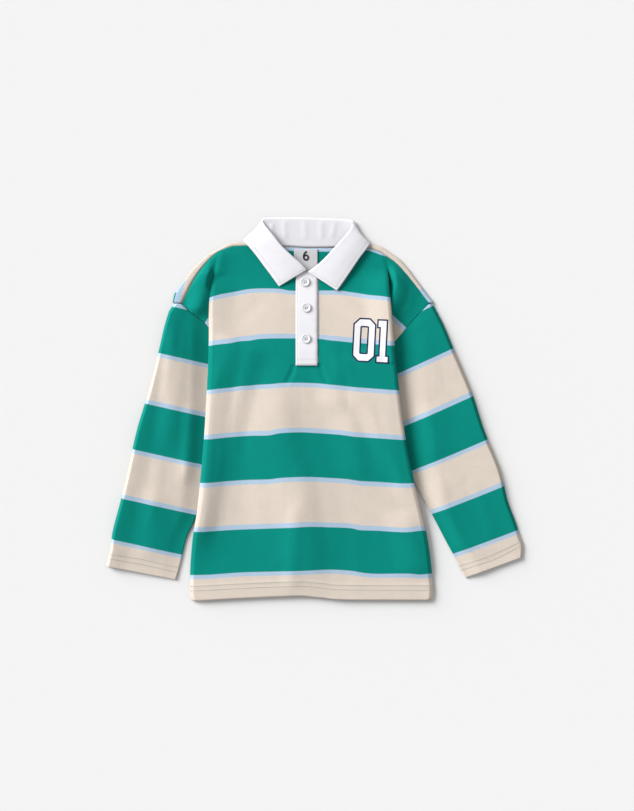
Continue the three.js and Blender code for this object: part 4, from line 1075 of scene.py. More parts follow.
def front_wing(main, shoulder, armhole, edge_at, apex, side):
    """The outer part of a shoulder, tucked under the body's folded edge below the pleat's end."""
    edge = main[:, 0 if side < 0 else -1]
    start_row = int(np.argmin(np.abs(edge[:, 1] - apex)))
    joint = edge[start_row:]
    drop = np.linspace(1, TUCK_FADE[0], WING_STEPS)
    under = look_up(TUCK, "drop", drop, "under") * smooth(*TUCK_FADE, drop)
    tuck_y = mix(joint[0, 1], armhole["y"][4], drop)
    tuck_x = edge_at(tuck_y) - side * under
    tuck_y = tuck_y - under * TUCK_TURN["lean"] * smooth(TUCK_TURN["start"], 1, drop)
    tuck_z = look_up(TUCK, "drop", drop, "height") + JERSEY
    tuck_z = mix(joint[0, 2], tuck_z, smooth(0.0, TUCK_FADE[1], drop))
    inner = np.vstack([np.stack([tuck_x, tuck_y, tuck_z], axis=1), joint])
    seam = turned(part_of(armhole, 1, 5))
    low = {"x": np.concatenate([[inner[0, 0]], seam["x"]]),
           "y": np.concatenate([[inner[0, 1]], seam["y"] + SEAM_GAP])}
    u = np.linspace(0, 1, WING_STEPS)[None, :]
    v = np.linspace(0, 1, len(inner))[:, None]
    bottom_x, bottom_y = along(low, u)
    top_x, top_y = along(shoulder, u)
    start = mix(inner[0], inner[-1], v)
    x = mix(bottom_x, top_x, v) + (1 - u) * (inner[:, 0:1] - start[:, 0:1])
    y = mix(bottom_y, top_y, v) + (1 - u) * (inner[:, 1:2] - start[:, 1:2])
    z = mix(inner[:, 2:3], SHOULDER_TOP, smooth(0, WING_FADE["rise"], u))
    folds = crease_height(WING_CREASES, x, y) + fall_height(WING_FALLS, x, y)
    folds = folds * smooth(0, WING_FADE["in"], u) * smooth(1, WING_FADE["out"], u)
    z = z + folds * smooth(1, WING_FADE["top"], v)
    points = np.stack([x, y, z], axis=-1)
    points[:, 0] = inner
    return points if side > 0 else points[:, ::-1]


def cut_slit(points):
    """Lowers the front where it lies in the placket's opening."""
    x, y = points[..., 0], points[..., 1]
    inside = (x > SLIT["left"]) & (x < SLIT["right"]) & (y > SLIT["bottom"]) & (y < SLIT["top"])
    points[..., 2] -= np.where(inside, JERSEY * SLIT_DROP, 0.0)


def build_front(sizes, colours):
    main, rolls = front_main(sizes.front_columns, sizes.front_rows)
    body = np.concatenate([edge_roll(main, -1, rolls[-1]), main, edge_roll(main, 1, rolls[1])], axis=1)
    x, y = body[..., 0], body[..., 1]
    cut_slit(body)
    patches = [patch(body, body_cloth(x, y), hem_wall(x, y))]
    for side, shoulder, armhole, edge_at, apex, stripes in (
        (-1, LEFT_SHOULDER, LEFT_ARMHOLE, body_left, PLEAT["left"], LEFT_WING_STRIPES),
        (1, RIGHT_SHOULDER, RIGHT_ARMHOLE, body_right, PLEAT["right"], RIGHT_WING_STRIPES),
    ):
        wing = front_wing(main, shoulder, armhole, edge_at, apex, side)
        patches.append(patch(wing, line_cloth(wing[..., 0], wing[..., 1], **stripes)))
    material = jersey_material("Printed striped jersey", colours, printed=True)
    return cloth_shell("front_panel_cloth", patches, material)


BACK_HEM = 1.2
BACK_INSET = 2.2
BACK_ENDS = 14
BACK_TOP_ROWS = 40
BACK_SHIFT = 4
ABOVE_SEAM = 0.02
FOLDED = 0.99


def back_neck_seams():
    """The seams on the front that the back's folded strips reach, beside the left and the right neck."""
    left = turned(joined(turned(part_of(FRONT_TOP, 0, 4)), part_of(LEFT_SHOULDER, 1, None)))
    right = joined(part_of(FRONT_TOP, 10, None), part_of(RIGHT_SHOULDER, 1, None))
    return left, right


def build_back(sizes, colours):
    count = sizes.back_columns
    row_x, row_y = along(ARMHOLE_ROW, np.linspace(0, 1, count))
    share = np.linspace(0, 1, count)[None, :]
    v = np.linspace(0, 1, sizes.back_rows)[:, None]
    at_sleeve = (row_x < LEFT_ARMHOLE["x"][6]) | (row_x > RIGHT_ARMHOLE["x"][6])
    hem_y = look_up(HEM_LINE, "across", share, "y") + BACK_HEM
    y = mix(hem_y, row_y - np.where(at_sleeve, SEAM_GAP, 0), v)
    top_share = (row_x - body_left(row_y)) / (body_right(row_y) - body_left(row_y))
    left, right = body_left(y) + BACK_INSET, body_right(y) - BACK_INSET
    x = mix(left, right, mix(share, top_share, smooth(BACK_SPREAD, 1, v)))
    low = back_height(x, np.minimum(y, armhole_height(x)))
    wall = hem_wall(x, y)
    lower = np.stack([x, y, low + wall], axis=-1)

    t = np.linspace(0, 1, BACK_ENDS, endpoint=False)
    left_x, left_y = along(part_of(LEFT_ARMHOLE, 0, 5), t)
    right_x, right_y = along(turned(part_of(RIGHT_ARMHOLE, 0, 5)), 1 - t[::-1])
    seam_x = np.concatenate([left_x, row_x, right_x])
    seam_y = np.concatenate([left_y, row_y, right_y])
    middle = slice(BACK_ENDS, BACK_ENDS + count)
    top_x, top_y, fold = along(BACK_TOP, np.linspace(0, 1, len(seam_x)), ("x", "y", "fold"))
    w = np.linspace(0, 1, BACK_TOP_ROWS)[:, None]
    x = mix(seam_x, top_x, w)
    y = mix(seam_y, top_y, w)
    above = np.where(w > 0, y, y + ABOVE_SEAM)
    height = back_height(x, np.maximum(above, armhole_height(x) + ABOVE_SEAM))
    upper = np.stack([x, y, height + JERSEY], axis=-1)
    shared = ~at_sleeve
    lower[-1, shared] = upper[0, middle][shared]
    patches = [
        patch(lower, body_cloth(lower[..., 0], lower[..., 1] + BACK_SHIFT), wall),
        patch(upper, body_cloth(upper[..., 0], upper[..., 1] + BACK_SHIFT)),
    ]
    folded = np.flatnonzero(fold > FOLDED)
    gap = int(np.argmax(np.diff(folded))) + 1
    left_seam, right_seam = back_neck_seams()
    for indices, seam, stripes, edge_level in (
        (folded[:gap], left_seam, LEFT_STRIP_STRIPES, None),
        (folded[gap:], right_seam, RIGHT_STRIP_STRIPES, STRIP_EDGE_LEVEL),
    ):
        strip = shoulder_strip(top_x[indices], top_y[indices], seam)
        cloth = line_cloth(strip[..., 0], strip[..., 1], **stripes)
        if edge_level is not None:
            cloth[-1:, :, 1] = edge_level
        patches.append(patch(strip, cloth))
    material = jersey_material("Striped jersey", colours)
    return cloth_shell("back_panel_cloth", patches, material)


STRIP_BENDS = (-60, -30, 0, 30, 60, 90)
STRIP_STEPS = (0.3, 0.6, 1.0)
STRIP_RISE = 0.25


def shoulder_strip(x, y, seam):
    """The strip of the back that folds over the shoulder to the seam on the front. Its outer face is
    the back panel's lower face carried round."""
    radius = SHOULDER_TOP / 2
    seam_x, seam_y = along(seam, np.linspace(0, 1, len(x)))
    reach = np.maximum(np.hypot(seam_x - x, seam_y - y), 0.01)
    in_x, in_y = (seam_x - x) / reach, (seam_y - y) / reach
    inner = radius - JERSEY
    lines = [np.stack([x, y, np.full_like(x, JERSEY)], axis=-1)]
    for degrees in STRIP_BENDS:
        out, up = math.cos(math.radians(degrees)), math.sin(math.radians(degrees))
        lines.append(np.stack([x - in_x * inner * out, y - in_y * inner * out,
                               np.full_like(x, radius + inner * up)], axis=-1))
    top = SHOULDER_TOP - JERSEY
    for t in STRIP_STEPS:
        end = t * (1 - SEAM_GAP / reach)
        rise = STRIP_RISE * math.sin(math.pi * t)
        lines.append(np.stack([x + in_x * reach * end, y + in_y * reach * end,
                               np.full_like(x, top + rise)], axis=-1))
    return np.stack(lines, axis=0)


# The sleeves


SLEEVE_PIECES = 8
SLEEVE_GRADING = 0.6
SLEEVE_UNDER = 16
SLEEVE_BENDS = np.radians([60, 30, 0, -30, -60])
SLEEVE_PUFF = 0.8
SLEEVE_INNER = 24
SLEEVE_SWELL_RANGE = (-210, -110)
SEAM_PUFF = 1.2
SEAM_ROWS = 10
CUFF_SHARE = 0.06
CUFF_FULL = 2


def sleeve_stations(rows, count):
    """Places across a sleeve from its seam to its cuff."""
    middle = eased(rows, SLEEVE_PIECES)
    size = len(middle["outer_x"])
    t = np.linspace(0, size - 1, count)
    return {name: np.interp(t, np.arange(size), values) for name, values in middle.items()}


def seam_line(seam):
    """A function of places along the armhole's seam, from the outer to the inner edge."""
    def place(u):
        x, y = along(seam, u)
        return np.asarray(x), np.asarray(y)
    return place


def station_line(stations, index):
    """A function of places along one station of a sleeve, from the outer to the inner edge."""
    outer = stations["outer_x"][index], stations["outer_y"][index]
    inner = stations["inner_x"][index], stations["inner_y"][index]

    def place(u):
        return mix(outer[0], inner[0], u), mix(outer[1], inner[1], u)
    return place


def sleeve_ring(place, puff, cuff, shape, from_body, columns):
    """One ring round a sleeve: its upper side, its inner bend, its lower side and its outer bend."""
    edge = JERSEY + SEAM_GAP / 2
    upper = graded(columns, SLEEVE_GRADING)
    lower = np.linspace(1, 0, SLEEVE_UNDER)
    start = np.array(place(np.array([0.0]))).ravel()
    end = np.array(place(np.array([1.0]))).ravel()
    wide = np.hypot(*(end - start))
    inward = (end - start) / wide
    x, y = place(mix(edge / wide, 1 - edge / wide, upper))
    from_outer = smooth(0, shape["edge"], upper * wide)
    crest = shape["crest"] * smooth(shape["crest_end"], shape["edge"], upper * wide)
    lean = shape["lean"] * (0.5 - upper)
    from_inner = smooth(0, SLEEVE_INNER, (1 - upper) * wide)
    folds = crease_height(SLEEVE_CREASES, x, y) + fall_height(SLEEVE_FALLS, x, y)
    folds = folds + drift(x + SLEEVE_SHIFT["x"], y + SLEEVE_SHIFT["y"])
    folds = folds + SLEEVE_SWELL * smooth(*SLEEVE_SWELL_RANGE, y)
    space = np.maximum(0, (puff + SLEEVE_PUFF + crest + lean + folds) * from_outer)
    space = space * np.minimum(smooth(shape["near"], shape["far"], from_body(x, y)), from_inner)
    top = np.stack([x, y, 2 * JERSEY + SEAM_GAP + space + cuff], axis=1)

    def bend(share, way, angles):
        """The half circle round an edge of the sleeve."""
        edge_x, edge_y = (float(value) for value in place(np.array(share)))
        points = []
        for angle in angles:
            out = way * edge * math.cos(angle)
            height = edge + edge * math.sin(angle)
            points.append([edge_x + inward[0] * out, edge_y + inward[1] * out, height])
        return points

    x, y = place(mix(edge / wide, 1 - edge / wide, lower))
    low = np.stack([x, y, np.zeros_like(x)], axis=1)
    inner_bend = bend(1 - edge / wide, 1, SLEEVE_BENDS)
    outer_bend = bend(edge / wide, -1, SLEEVE_BENDS[::-1])
    return np.vstack([top, inner_bend, low, outer_bend, top[:1]])


def build_sleeve(name, rows, armhole, body_edge, side, stripes, slope, sizes):
    stations = sleeve_stations(rows, sizes.sleeve_rows)
    seam = {"x": armhole["x"], "y": armhole["y"] - SEAM_GAP / 2}
    shape, columns = SLEEVE_FOLDS[name], sizes.sleeve_columns

    def from_body(x, y):
        """How far a place is outside the body's folded side."""
        return side * (x - body_edge(y))

    first = sleeve_ring(seam_line(seam), SEAM_PUFF, 0.0, shape, from_body, columns)
    rings = []
    last = len(stations["puff"]) - 1
    for index, puff in enumerate(stations["puff"]):
        cuff = TURN_EXTRA / 2 * smooth(last - sizes.sleeve_rows * CUFF_SHARE, last - CUFF_FULL, index)
        rings.append(sleeve_ring(station_line(stations, index), puff, cuff, shape, from_body, columns))
    between = [mix(first, rings[0], t) for t in np.linspace(0, 1, SEAM_ROWS, endpoint=False)]
    points = np.stack(between + rings, axis=0)
    cloth = sloped_cloth(points[..., 0], points[..., 1], stripes, slope)
    material = bpy.data.materials["Striped jersey"]
    return cloth_shell(name + "_cloth", [patch(points, cloth)], material, reverse=side < 0)


# The collar

STAND_LINES = 14
FALL_LINES = 25
CREASE_BENDS = (-90, -65, -40, -20, 0, 20, 40, 65, 90)
FALL_PUFF = {"rise": 0.9, "power": 1.4}
STAND_MIDDLE = 9
NECK_BACK = (236, 244)


def collar_sections(stations):
    """Lines from the neck up the stand, over the crease and down the fall, at places along the collar."""
    t = np.linspace(0, 1, stations)
    neck = blend_points(COLLAR_LINES["neck"], t)
    crease = blend_points(COLLAR_LINES["crease"], t)
    outer = blend_points(COLLAR_LINES["outer"], t)
    rows = len(COLLAR_LINES["turn"])
    turn = np.radians(np.interp(t * (rows - 1), np.arange(rows), COLLAR_LINES["turn"]))[:, None]
    towards = crease - (neck + outer) / 2
    towards[:, 2] = 0
    towards /= np.linalg.norm(towards, axis=1)[:, None]
    sideways = np.stack([-towards[:, 1], towards[:, 0], np.zeros(len(t))], axis=1)
    flip = np.sum(sideways * (outer - neck), axis=1) < 0
    sideways[flip] *= -1
    over = np.array([0.0, 0.0, 1.0]) * np.cos(turn) + sideways * np.sin(turn)

    def bend_at(degrees):
        angle = math.radians(degrees)
        inner = crease + towards * CREASE_RADIUS * (math.cos(angle) - 1)
        return inner + over * CREASE_RADIUS * math.sin(angle)

    bends = [bend_at(degrees) for degrees in CREASE_BENDS]
    lines = [mix(neck, bends[0], u) for u in np.linspace(0, 1, STAND_LINES, endpoint=False)]
    lines += bends
    for u in np.linspace(0, 1, FALL_LINES)[1:]:
        line = mix(bends[-1], outer, u)
        puff = FALL_PUFF["rise"] * math.sin(math.pi * u) ** FALL_PUFF["power"]
        line[:, 2] += puff * np.cos(turn[:, 0] / 2)
        lines.append(line)
    return np.stack(lines, axis=1)


STAND_RIPPLES = [
    {"line": [(-62, 266), (-60, 250), (-56, 236)], "half": 5, "rise": -0.9},
    {"line": [(-44, 270), (-43, 254), (-42, 240)], "half": 6, "rise": 0.5},
    {"line": [(-16, 270), (-14, 252), (-13, 240)], "half": 7, "rise": -0.4},
    {"line": [(8, 268), (9, 254), (10, 240)], "half": 6, "rise": 0.5},
    {"line": [(28, 268), (26, 254), (24, 242)], "half": 6, "rise": -0.4},
]


def build_collar(sizes, colours):
    sections = collar_sections(sizes.collar_stations)
    step = np.linalg.norm(np.diff(sections[:, STAND_MIDDLE], axis=0), axis=1)
    distance = np.concatenate([[0], np.cumsum(step)])[:, None]
    rise = np.linalg.norm(np.diff(sections, axis=1), axis=2)
    height = np.concatenate([np.zeros((len(sections), 1)), np.cumsum(rise, axis=1)], axis=1)
    cloth = np.stack([np.broadcast_to(distance, height.shape), height], axis=-1)
    points = sections.copy()
    stand = points[:, :STAND_LINES]
    at_back = smooth(*NECK_BACK, stand[..., 1])
    stand[..., 2] += np.abs(crease_height(STAND_RIPPLES, stand[..., 0], stand[..., 1])) * at_back
    before = np.concatenate([points[:1], points[:-1]])
    after = np.concatenate([points[1:], points[-1:]])
    below = np.concatenate([points[:, :1], points[:, :-1]], axis=1)
    above = np.concatenate([points[:, 1:], points[:, -1:]], axis=1)
    normal = np.cross(after - before, above - below)
    normal /= np.maximum(np.linalg.norm(normal, axis=-1), 1e-9)[..., None]
    outer = points - normal * COLLAR_WALL / 2
    material = twill_material("White twill", colours.twill)
    return cloth_shell("collar_cloth", [patch(outer, cloth, COLLAR_WALL)], material)


# The placket, the buttons and the neck label

PLACKET_GROUND = 18
PLACKET_PILLOW = {"rise": 0.5, "full": 0.72}
PLACKET_PUCKER = {"rise": 0.12, "length": 3.1, "turn": 17, "start": 0.7, "full": 0.95}
PLACKET_WAVE = {"rise": 0.25, "length": 19, "start": 0.6}


def flat_piece(name, box, counts, height, wall, material):
    """A narrow piece of cloth between its left, right, bottom and top, at a height function."""
    left, right, bottom, top = box
    columns, rows = counts
    x, y = np.meshgrid(np.linspace(left, right, columns), np.linspace(bottom, top, rows))
    points = np.stack([x, y, height(x, y)], axis=-1)
    return cloth_shell(name, [patch(points, points[..., :2].copy(), wall)], material)


def placket_height(x, y):
    """The placket's face: over the front's cloth, a little puckered between its rows of stitches."""
    middle = (PLACKET["left"] + PLACKET["right"]) / 2
    ground = front_face(np.full_like(x, middle), y)
    for offset in (-PLACKET_GROUND, PLACKET_GROUND):
        ground = np.maximum(ground, front_face(np.full_like(x, middle + offset), y))
    half = (PLACKET["right"] - PLACKET["left"]) / 2
    across = np.abs(x - middle) / half
    pillow = PLACKET_PILLOW["rise"] * smooth(1.0, PLACKET_PILLOW["full"], across)
    small = PLACKET_PUCKER
    pucker = small["rise"] * np.sin(y / small["length"] + 2 * np.sin(y / small["turn"]))
    pucker = pucker * smooth(small["start"], small["full"], across)
    wave = PLACKET_WAVE["rise"] * np.sin(y / PLACKET_WAVE["length"] + PLACKET_WAVE["start"])
    return ground + SEAM_GAP + PLACKET["wall"] + pillow + pucker + wave


def under_height(x, y):
    return placket_height(x, y) - PLACKET["wall"] - PLACKET_BELOW


def build_placket():
    """The placket's upper side and the under side that it laps over."""
    material = bpy.data.materials["White twill"]
    box = (PLACKET["left"], PLACKET["right"], PLACKET["bottom"], PLACKET_REACH)
    top = flat_piece("placket_top_cloth", box, PLACKET_COUNTS["top"], placket_height, PLACKET["wall"],
                     material)
    box = (SLIT["left"], SLIT["right"] + PLACKET_OVER, SLIT["bottom"], PLACKET["top"])
    under = flat_piece("placket_under_cloth", box, PLACKET_COUNTS["under"], under_height, JERSEY, material)
    return top, under


BUTTON_AROUND = 64
BUTTON_TURN = 0.2
HOLE_CUTTER = {"sides": 20, "depth": 20}


def button_profile():
    """Radii and heights of the turned form, from the middle of its base round to its well."""
    radius = BUTTON["diameter"] / 2
    high = BUTTON["height"]
    rim = BUTTON["rim"]
    well = high - BUTTON["well"]
    return [
        (0, 0), (radius - 0.9, 0), (radius - 0.35, 0.25), (radius, 0.9), (radius, high - 0.8),
        (radius - 0.25, high - 0.25), (radius - 0.7, high), (radius - rim, high - 0.05),
        (radius - rim - 0.5, high - 0.35), (radius - rim - 0.9, well), (0, well - 0.1),
    ]


def build_button(name, x, y, seat, material):
    """A turned button with four sewing holes."""
    profile = button_profile()
    around = BUTTON_AROUND
    points = []
    faces = []
    for radius, height in profile[1:-1]:
        for step in range(around):
            angle = 2 * math.pi * step / around
            points.append((radius * math.cos(angle), radius * math.sin(angle), height))
    rings = len(profile) - 2
    for ring in range(rings - 1):
        for step in range(around):
            a = ring * around + step
            b = ring * around + (step + 1) % around
            faces.append((a, b, b + around, a + around))
    faces.append(tuple(reversed(range(around))))
    last = (rings - 1) * around
    faces.append(tuple(range(last, last + around)))
    body = bpy.data.meshes.new(name)
    body.from_pydata([tuple(np.array(point) * MM) for point in points], [], faces)
    piece = link(name, body)
    place = row_place([x, y, seat])
    cutters = []
    for index in range(4):
        angle = (index + 0.5) * math.pi / 2 + BUTTON_TURN
        circle = BUTTON["circle"] * MM
        bpy.ops.mesh.primitive_cylinder_add(
            vertices=HOLE_CUTTER["sides"], radius=BUTTON["hole"] * MM, depth=HOLE_CUTTER["depth"] * MM,
            location=(circle * math.cos(angle), circle * math.sin(angle), 0),
        )
        cutter = bpy.context.object
        cutters.append(cutter)
        cut = piece.modifiers.new("hole", "BOOLEAN")
        cut.operation = "DIFFERENCE"
        cut.object = cutter
    depsgraph = bpy.context.evaluated_depsgraph_get()
    mesh = bpy.data.meshes.new_from_object(piece.evaluated_get(depsgraph))
    piece.modifiers.clear()
    piece.data = mesh
    for cutter in cutters:
        bpy.data.objects.remove(cutter)
    for vertex in mesh.vertices:
        vertex.co += Vector(place)
    mesh.materials.clear()
    mesh.materials.append(material)
    mesh.polygons.foreach_set("use_smooth", [False] * len(mesh.polygons))
    return piece


def tube(points, radius, sides=8):
    """Points and faces of a closed round thread along a line of points."""
    points = np.asarray(points, dtype=float)
    ahead = np.gradient(points, axis=0)
    ahead /= np.linalg.norm(ahead, axis=1)[:, None]
    across = np.cross(ahead, [0.0, 0.0, 1.0])
    across /= np.maximum(np.linalg.norm(across, axis=1), 1e-9)[:, None]
    up = np.cross(across, ahead)
    rings = []
    for index, point in enumerate(points):
        for side in range(sides):
            angle = 2 * math.pi * side / sides
            rings.append(point + radius * (math.cos(angle) * across[index] + math.sin(angle) * up[index]))
    faces = []
    for index in range(len(points) - 1):
        for side in range(sides):
            a = index * sides + side
            b = index * sides + (side + 1) % sides
            faces.append((a, b, b + sides, a + sides))
    faces.append(tuple(reversed(range(sides))))
    faces.append(tuple(range((len(points) - 1) * sides, len(points) * sides)))
    return rings, faces


def tubes(lines, radius):
    """Points and faces of several threads in one mesh."""
    points = []
    faces = []
    for line in lines:
        ring, loop = tube(line, radius)
        faces += [tuple(index + len(points) for index in face) for face in loop]
        points += [tuple(point) for point in ring]
    return points, faces


# The stroke of the 6, in half widths and half heights of its bowl

NUMERAL_STROKE = [(-1, 0), (-0.98, 0.9), (-0.62, 1.7), (-0.05, 2.25), (0.45, 2.4)]
BOWL_POINTS = 33
STROKE_POINTS = 20
NUMERAL_LIFT = 0.62
LABEL_WAVE = {"rise": 0.5, "length": 9, "end": 215}


def numeral_six(x, y, level):
    """A plain printed 6: a bowl with a stroke that rises from its left side."""
    turns = np.linspace(0.5 * math.pi, 2.5 * math.pi, BOWL_POINTS)
    wide, high = NUMERAL["bowl_wide"], NUMERAL["bowl_high"]
    bowl = [(x + wide * math.cos(t), y + high * math.sin(t), level) for t in turns]
    stroke = [(x + wide * out, y + high * up, level) for out, up in NUMERAL_STROKE]
    stroke = blend_points(stroke, np.linspace(0, 1, STROKE_POINTS))
    points, faces = tubes([bowl, stroke], NUMERAL["stroke"])
    return [(px, py, level + (pz - level) * NUMERAL["flatness"]) for px, py, pz in points], faces


THREAD = {"radius": 0.27, "shift": 0.28, "below": 1.2, "arch": 1.75, "power": 0.45, "points": 9}


def button_threads(seats):
    """Two parallel threads over each pair of holes, in every button."""
    lines = []
    for (x, y), seat in zip(BUTTON_PLACES, seats):
        level = seat + BUTTON["height"] - BUTTON["well"]
        offset = BUTTON["circle"] * math.sqrt(0.5)
        for side in (-1, 1):
            for shift in (-THREAD["shift"], THREAD["shift"]):
                line = []
                for t in np.linspace(0, 1, THREAD["points"]):
                    arch = THREAD["arch"] * math.sin(math.pi * t) ** THREAD["power"]
                    height = level - THREAD["below"] + arch
                    line.append((x + side * offset + shift, y + mix(-offset, offset, t), height))
                lines.append(line)
    return tubes(lines, THREAD["radius"])


# Stitches


def stitch_tree():
    """A row of stitches along every line of the mesh that it is given."""
    tree = bpy.data.node_groups.new("Rows of stitches", "GeometryNodeTree")
    face = tree.interface
    face.new_socket("Geometry", in_out="INPUT", socket_type="NodeSocketGeometry")
    for name in ("Stitch Length", "Pitch", "Thread Radius", "Unevenness"):
        face.new_socket(name, in_out="INPUT", socket_type="NodeSocketFloat")
    face.new_socket("Material", in_out="INPUT", socket_type="NodeSocketMaterial")
    face.new_socket("Geometry", in_out="OUTPUT", socket_type="NodeSocketGeometry")
    board = Board(tree)
    given = board.add("NodeGroupInput")
    sockets = {output.name: Socket(board, output) for output in given.socket.node.outputs}
    curve = board.add("GeometryNodeMeshToCurve", None, {"Mesh": sockets["Geometry"]})
    inputs = {"Curve": curve, "Length": sockets["Pitch"]}
    rows = board.add("GeometryNodeResampleCurve", {"mode": "LENGTH"}, inputs)
    tangent = board.add("GeometryNodeInputTangent")
    turn = board.add("FunctionNodeAlignRotationToVector", {"axis": "X"}, {"Vector": tangent})
    spread = board.add("ShaderNodeCombineXYZ", None, {2: sockets["Unevenness"]})
    opposite = board.add("ShaderNodeVectorMath", {"operation": "SCALE"}, {0: spread, "Scale": -1.0})
    chance = {0: opposite, 1: spread, "Seed": 7}
    jitter = board.add("FunctionNodeRandomValue", {"data_type": "FLOAT_VECTOR"}, chance)
    jitter = board.add("FunctionNodeEulerToRotation", None, {0: jitter})
    turn = board.add("FunctionNodeRotateRotation", {"rotation_space": "LOCAL"},
                     {"Rotation": turn, "Rotate By": jitter})
    bead = board.add("GeometryNodeMeshIcoSphere", None, {"Radius": 1.0, "Subdivisions": 2})
    size = {0: sockets["Stitch Length"] * 0.5, 1: sockets["Thread Radius"], 2: sockets["Thread Radius"]}
    scale = board.add("ShaderNodeCombineXYZ", None, size)
    placed = {"Points": rows, "Instance": bead, "Rotation": turn, "Scale": scale}
    result = board.add("GeometryNodeInstanceOnPoints", None, placed)
    result = board.add("GeometryNodeRealizeInstances", None, {"Geometry": result})
    inputs = {"Geometry": result, "Material": sockets["Material"]}
    result = board.add("GeometryNodeSetMaterial", None, inputs)
    board.add("NodeGroupOutput", None, {"Geometry": result})
    return tree


def surface_points(names):
    """The points of finished pieces, in metres."""
    found = []
    for name in names:
        mesh = bpy.data.objects[name].data
        values = np.empty(len(mesh.vertices) * 3, dtype=np.float32)
        mesh.vertices.foreach_get("co", values)
        found.append(values.reshape(-1, 3).astype(float))
    return np.concatenate(found)


# How thread lies on cloth: the step along a line, how far round a step the cloth's points are sought and
# preferred, how thick the highest layer is taken to be, and how softly near points count

LAY = {"step": 1.5, "reach": 3.2, "close": 1.9, "layer": 0.9, "soft": 0.3, "even": 5}
WHITE_STITCH = {"Stitch Length": 2.1, "Pitch": 2.7, "Thread Radius": 0.3}
HEM_STITCH = {"Stitch Length": 2.4, "Pitch": 2.9, "Thread Radius": 0.36}
HEM_THREAD_LIFT = 0.05
PLACKET_SEAMS = {"inset": 1.9, "second": 7, "top": 1}
LEAF_REACH = 12
LEAF_SHARES = (0.285, 0.715)
LEAF_END = 4
LEAF_EDGE = slice(-3, 22, -1)
HEM_SPAN = (0.006, 0.994, 120)


def lay_on(lines, names, raise_by=0.1):
    """Lines of places laid on the highest cloth below them, as lists of points in metres."""
    cloth = surface_points(names)
    laid = []
    for line in lines:
        line = np.asarray(line, dtype=float)
        steps = np.hypot(*np.diff(line, axis=0).T)
        length = np.concatenate([[0], np.cumsum(steps)])
        want = np.linspace(0, length[-1], max(int(length[-1] / LAY["step"]), 4))
        flat = np.stack([np.interp(want, length, line[:, axis]) for axis in (0, 1)], axis=1)
        flat = row_place(np.column_stack([flat, np.zeros(len(flat))]))
        heights = []
        for point in flat:
            reach = LAY["reach"] * MM
            near = cloth[np.hypot(cloth[:, 0] - point[0], cloth[:, 1] - point[1]) < reach]
            if not len(near):
                heights.append(np.nan)
                continue
            away = np.hypot(near[:, 0] - point[0], near[:, 1] - point[1])
            close = near[away < LAY["close"] * MM]
            level = (close if len(close) else near)[:, 2].max()
            high = near[:, 2] > level - LAY["layer"] * MM
            weight = 1 / (away[high] + LAY["soft"] * MM) ** 3
            heights.append(float(np.sum(near[high, 2] * weight) / np.sum(weight)))
        heights = np.array(heights)
        known = ~np.isnan(heights)
        heights = np.interp(want, want[known], heights[known])
        padded = np.pad(heights, LAY["even"] // 2, mode="edge")
        heights = np.convolve(padded, np.ones(LAY["even"]) / LAY["even"], mode="valid")
        laid.append(np.column_stack([flat[:, :2], heights + raise_by * MM]))
    return laid


def sew(name, lines, tree, sizes, material, stitch):
    """A mesh of stitches along lines of points in metres."""
    points = np.concatenate(lines)
    edges = []
    offset = 0
    for line in lines:
        edges += [(offset + index, offset + index + 1) for index in range(len(line) - 1)]
        offset += len(line)
    guide = bpy.data.meshes.new(name + " guide")
    guide.from_pydata(points.tolist(), edges, [])
    host = link(name + " guide", guide)
    rows = host.modifiers.new("Stitches", "NODES")
    rows.node_group = tree
    values = {size: value * MM for size, value in stitch.items()}
    values.update({"Unevenness": sizes.stitch_unevenness, "Material": material})
    for item in tree.interface.items_tree:
        if item.in_out == "INPUT" and item.name in values:
            rows[item.identifier] = values[item.name]
    depsgraph = bpy.context.evaluated_depsgraph_get()
    mesh = bpy.data.meshes.new_from_object(host.evaluated_get(depsgraph), depsgraph=depsgraph)
    host.modifiers.clear()
    bpy.data.objects.remove(host)
    mesh.polygons.foreach_set("use_smooth", [True] * len(mesh.polygons))
    return link(name, mesh)


def leaf_line(sections, first, last, inset):
    """A line round a collar leaf, inside its free edges."""
    outer = sections[first:last + 1, -1]
    inner = sections[first:last + 1, -LEAF_REACH]
    towards = inner - outer
    towards /= np.linalg.norm(towards, axis=1)[:, None]
    return (outer + towards * inset)[:, :2]


# Properties that a user may change


class ShirtSizes(bpy.types.PropertyGroup):
    front_columns: bpy.props.IntProperty(
        name="Front columns", description="Points across the front panel", default=150, min=40)
    front_rows: bpy.props.IntProperty(
        name="Front rows", description="Points along the front panel", default=210, min=60)
    back_columns: bpy.props.IntProperty(
        name="Back columns", description="Points across the back panel", default=110, min=40)
    back_rows: bpy.props.IntProperty(
        name="Back rows", description="Points along the back panel", default=140, min=40)
    sleeve_columns: bpy.props.IntProperty(
        name="Sleeve columns", description="Points across a sleeve", default=60, min=20)
    sleeve_rows: bpy.props.IntProperty(
        name="Sleeve rows", description="Points along a sleeve", default=170, min=40)
    collar_stations: bpy.props.IntProperty(
        name="Collar stations", description="Places along the collar", default=220, min=60)
    stitch_unevenness: bpy.props.FloatProperty(
        name="Stitch unevenness", description="How far a stitch may turn from its row", default=0.12,
        subtype="ANGLE", unit="ROTATION")


def colour_property(name, description, default):
    return bpy.props.FloatVectorProperty(
        name=name, description=description, default=default, size=4, subtype="COLOR", min=0, max=1)


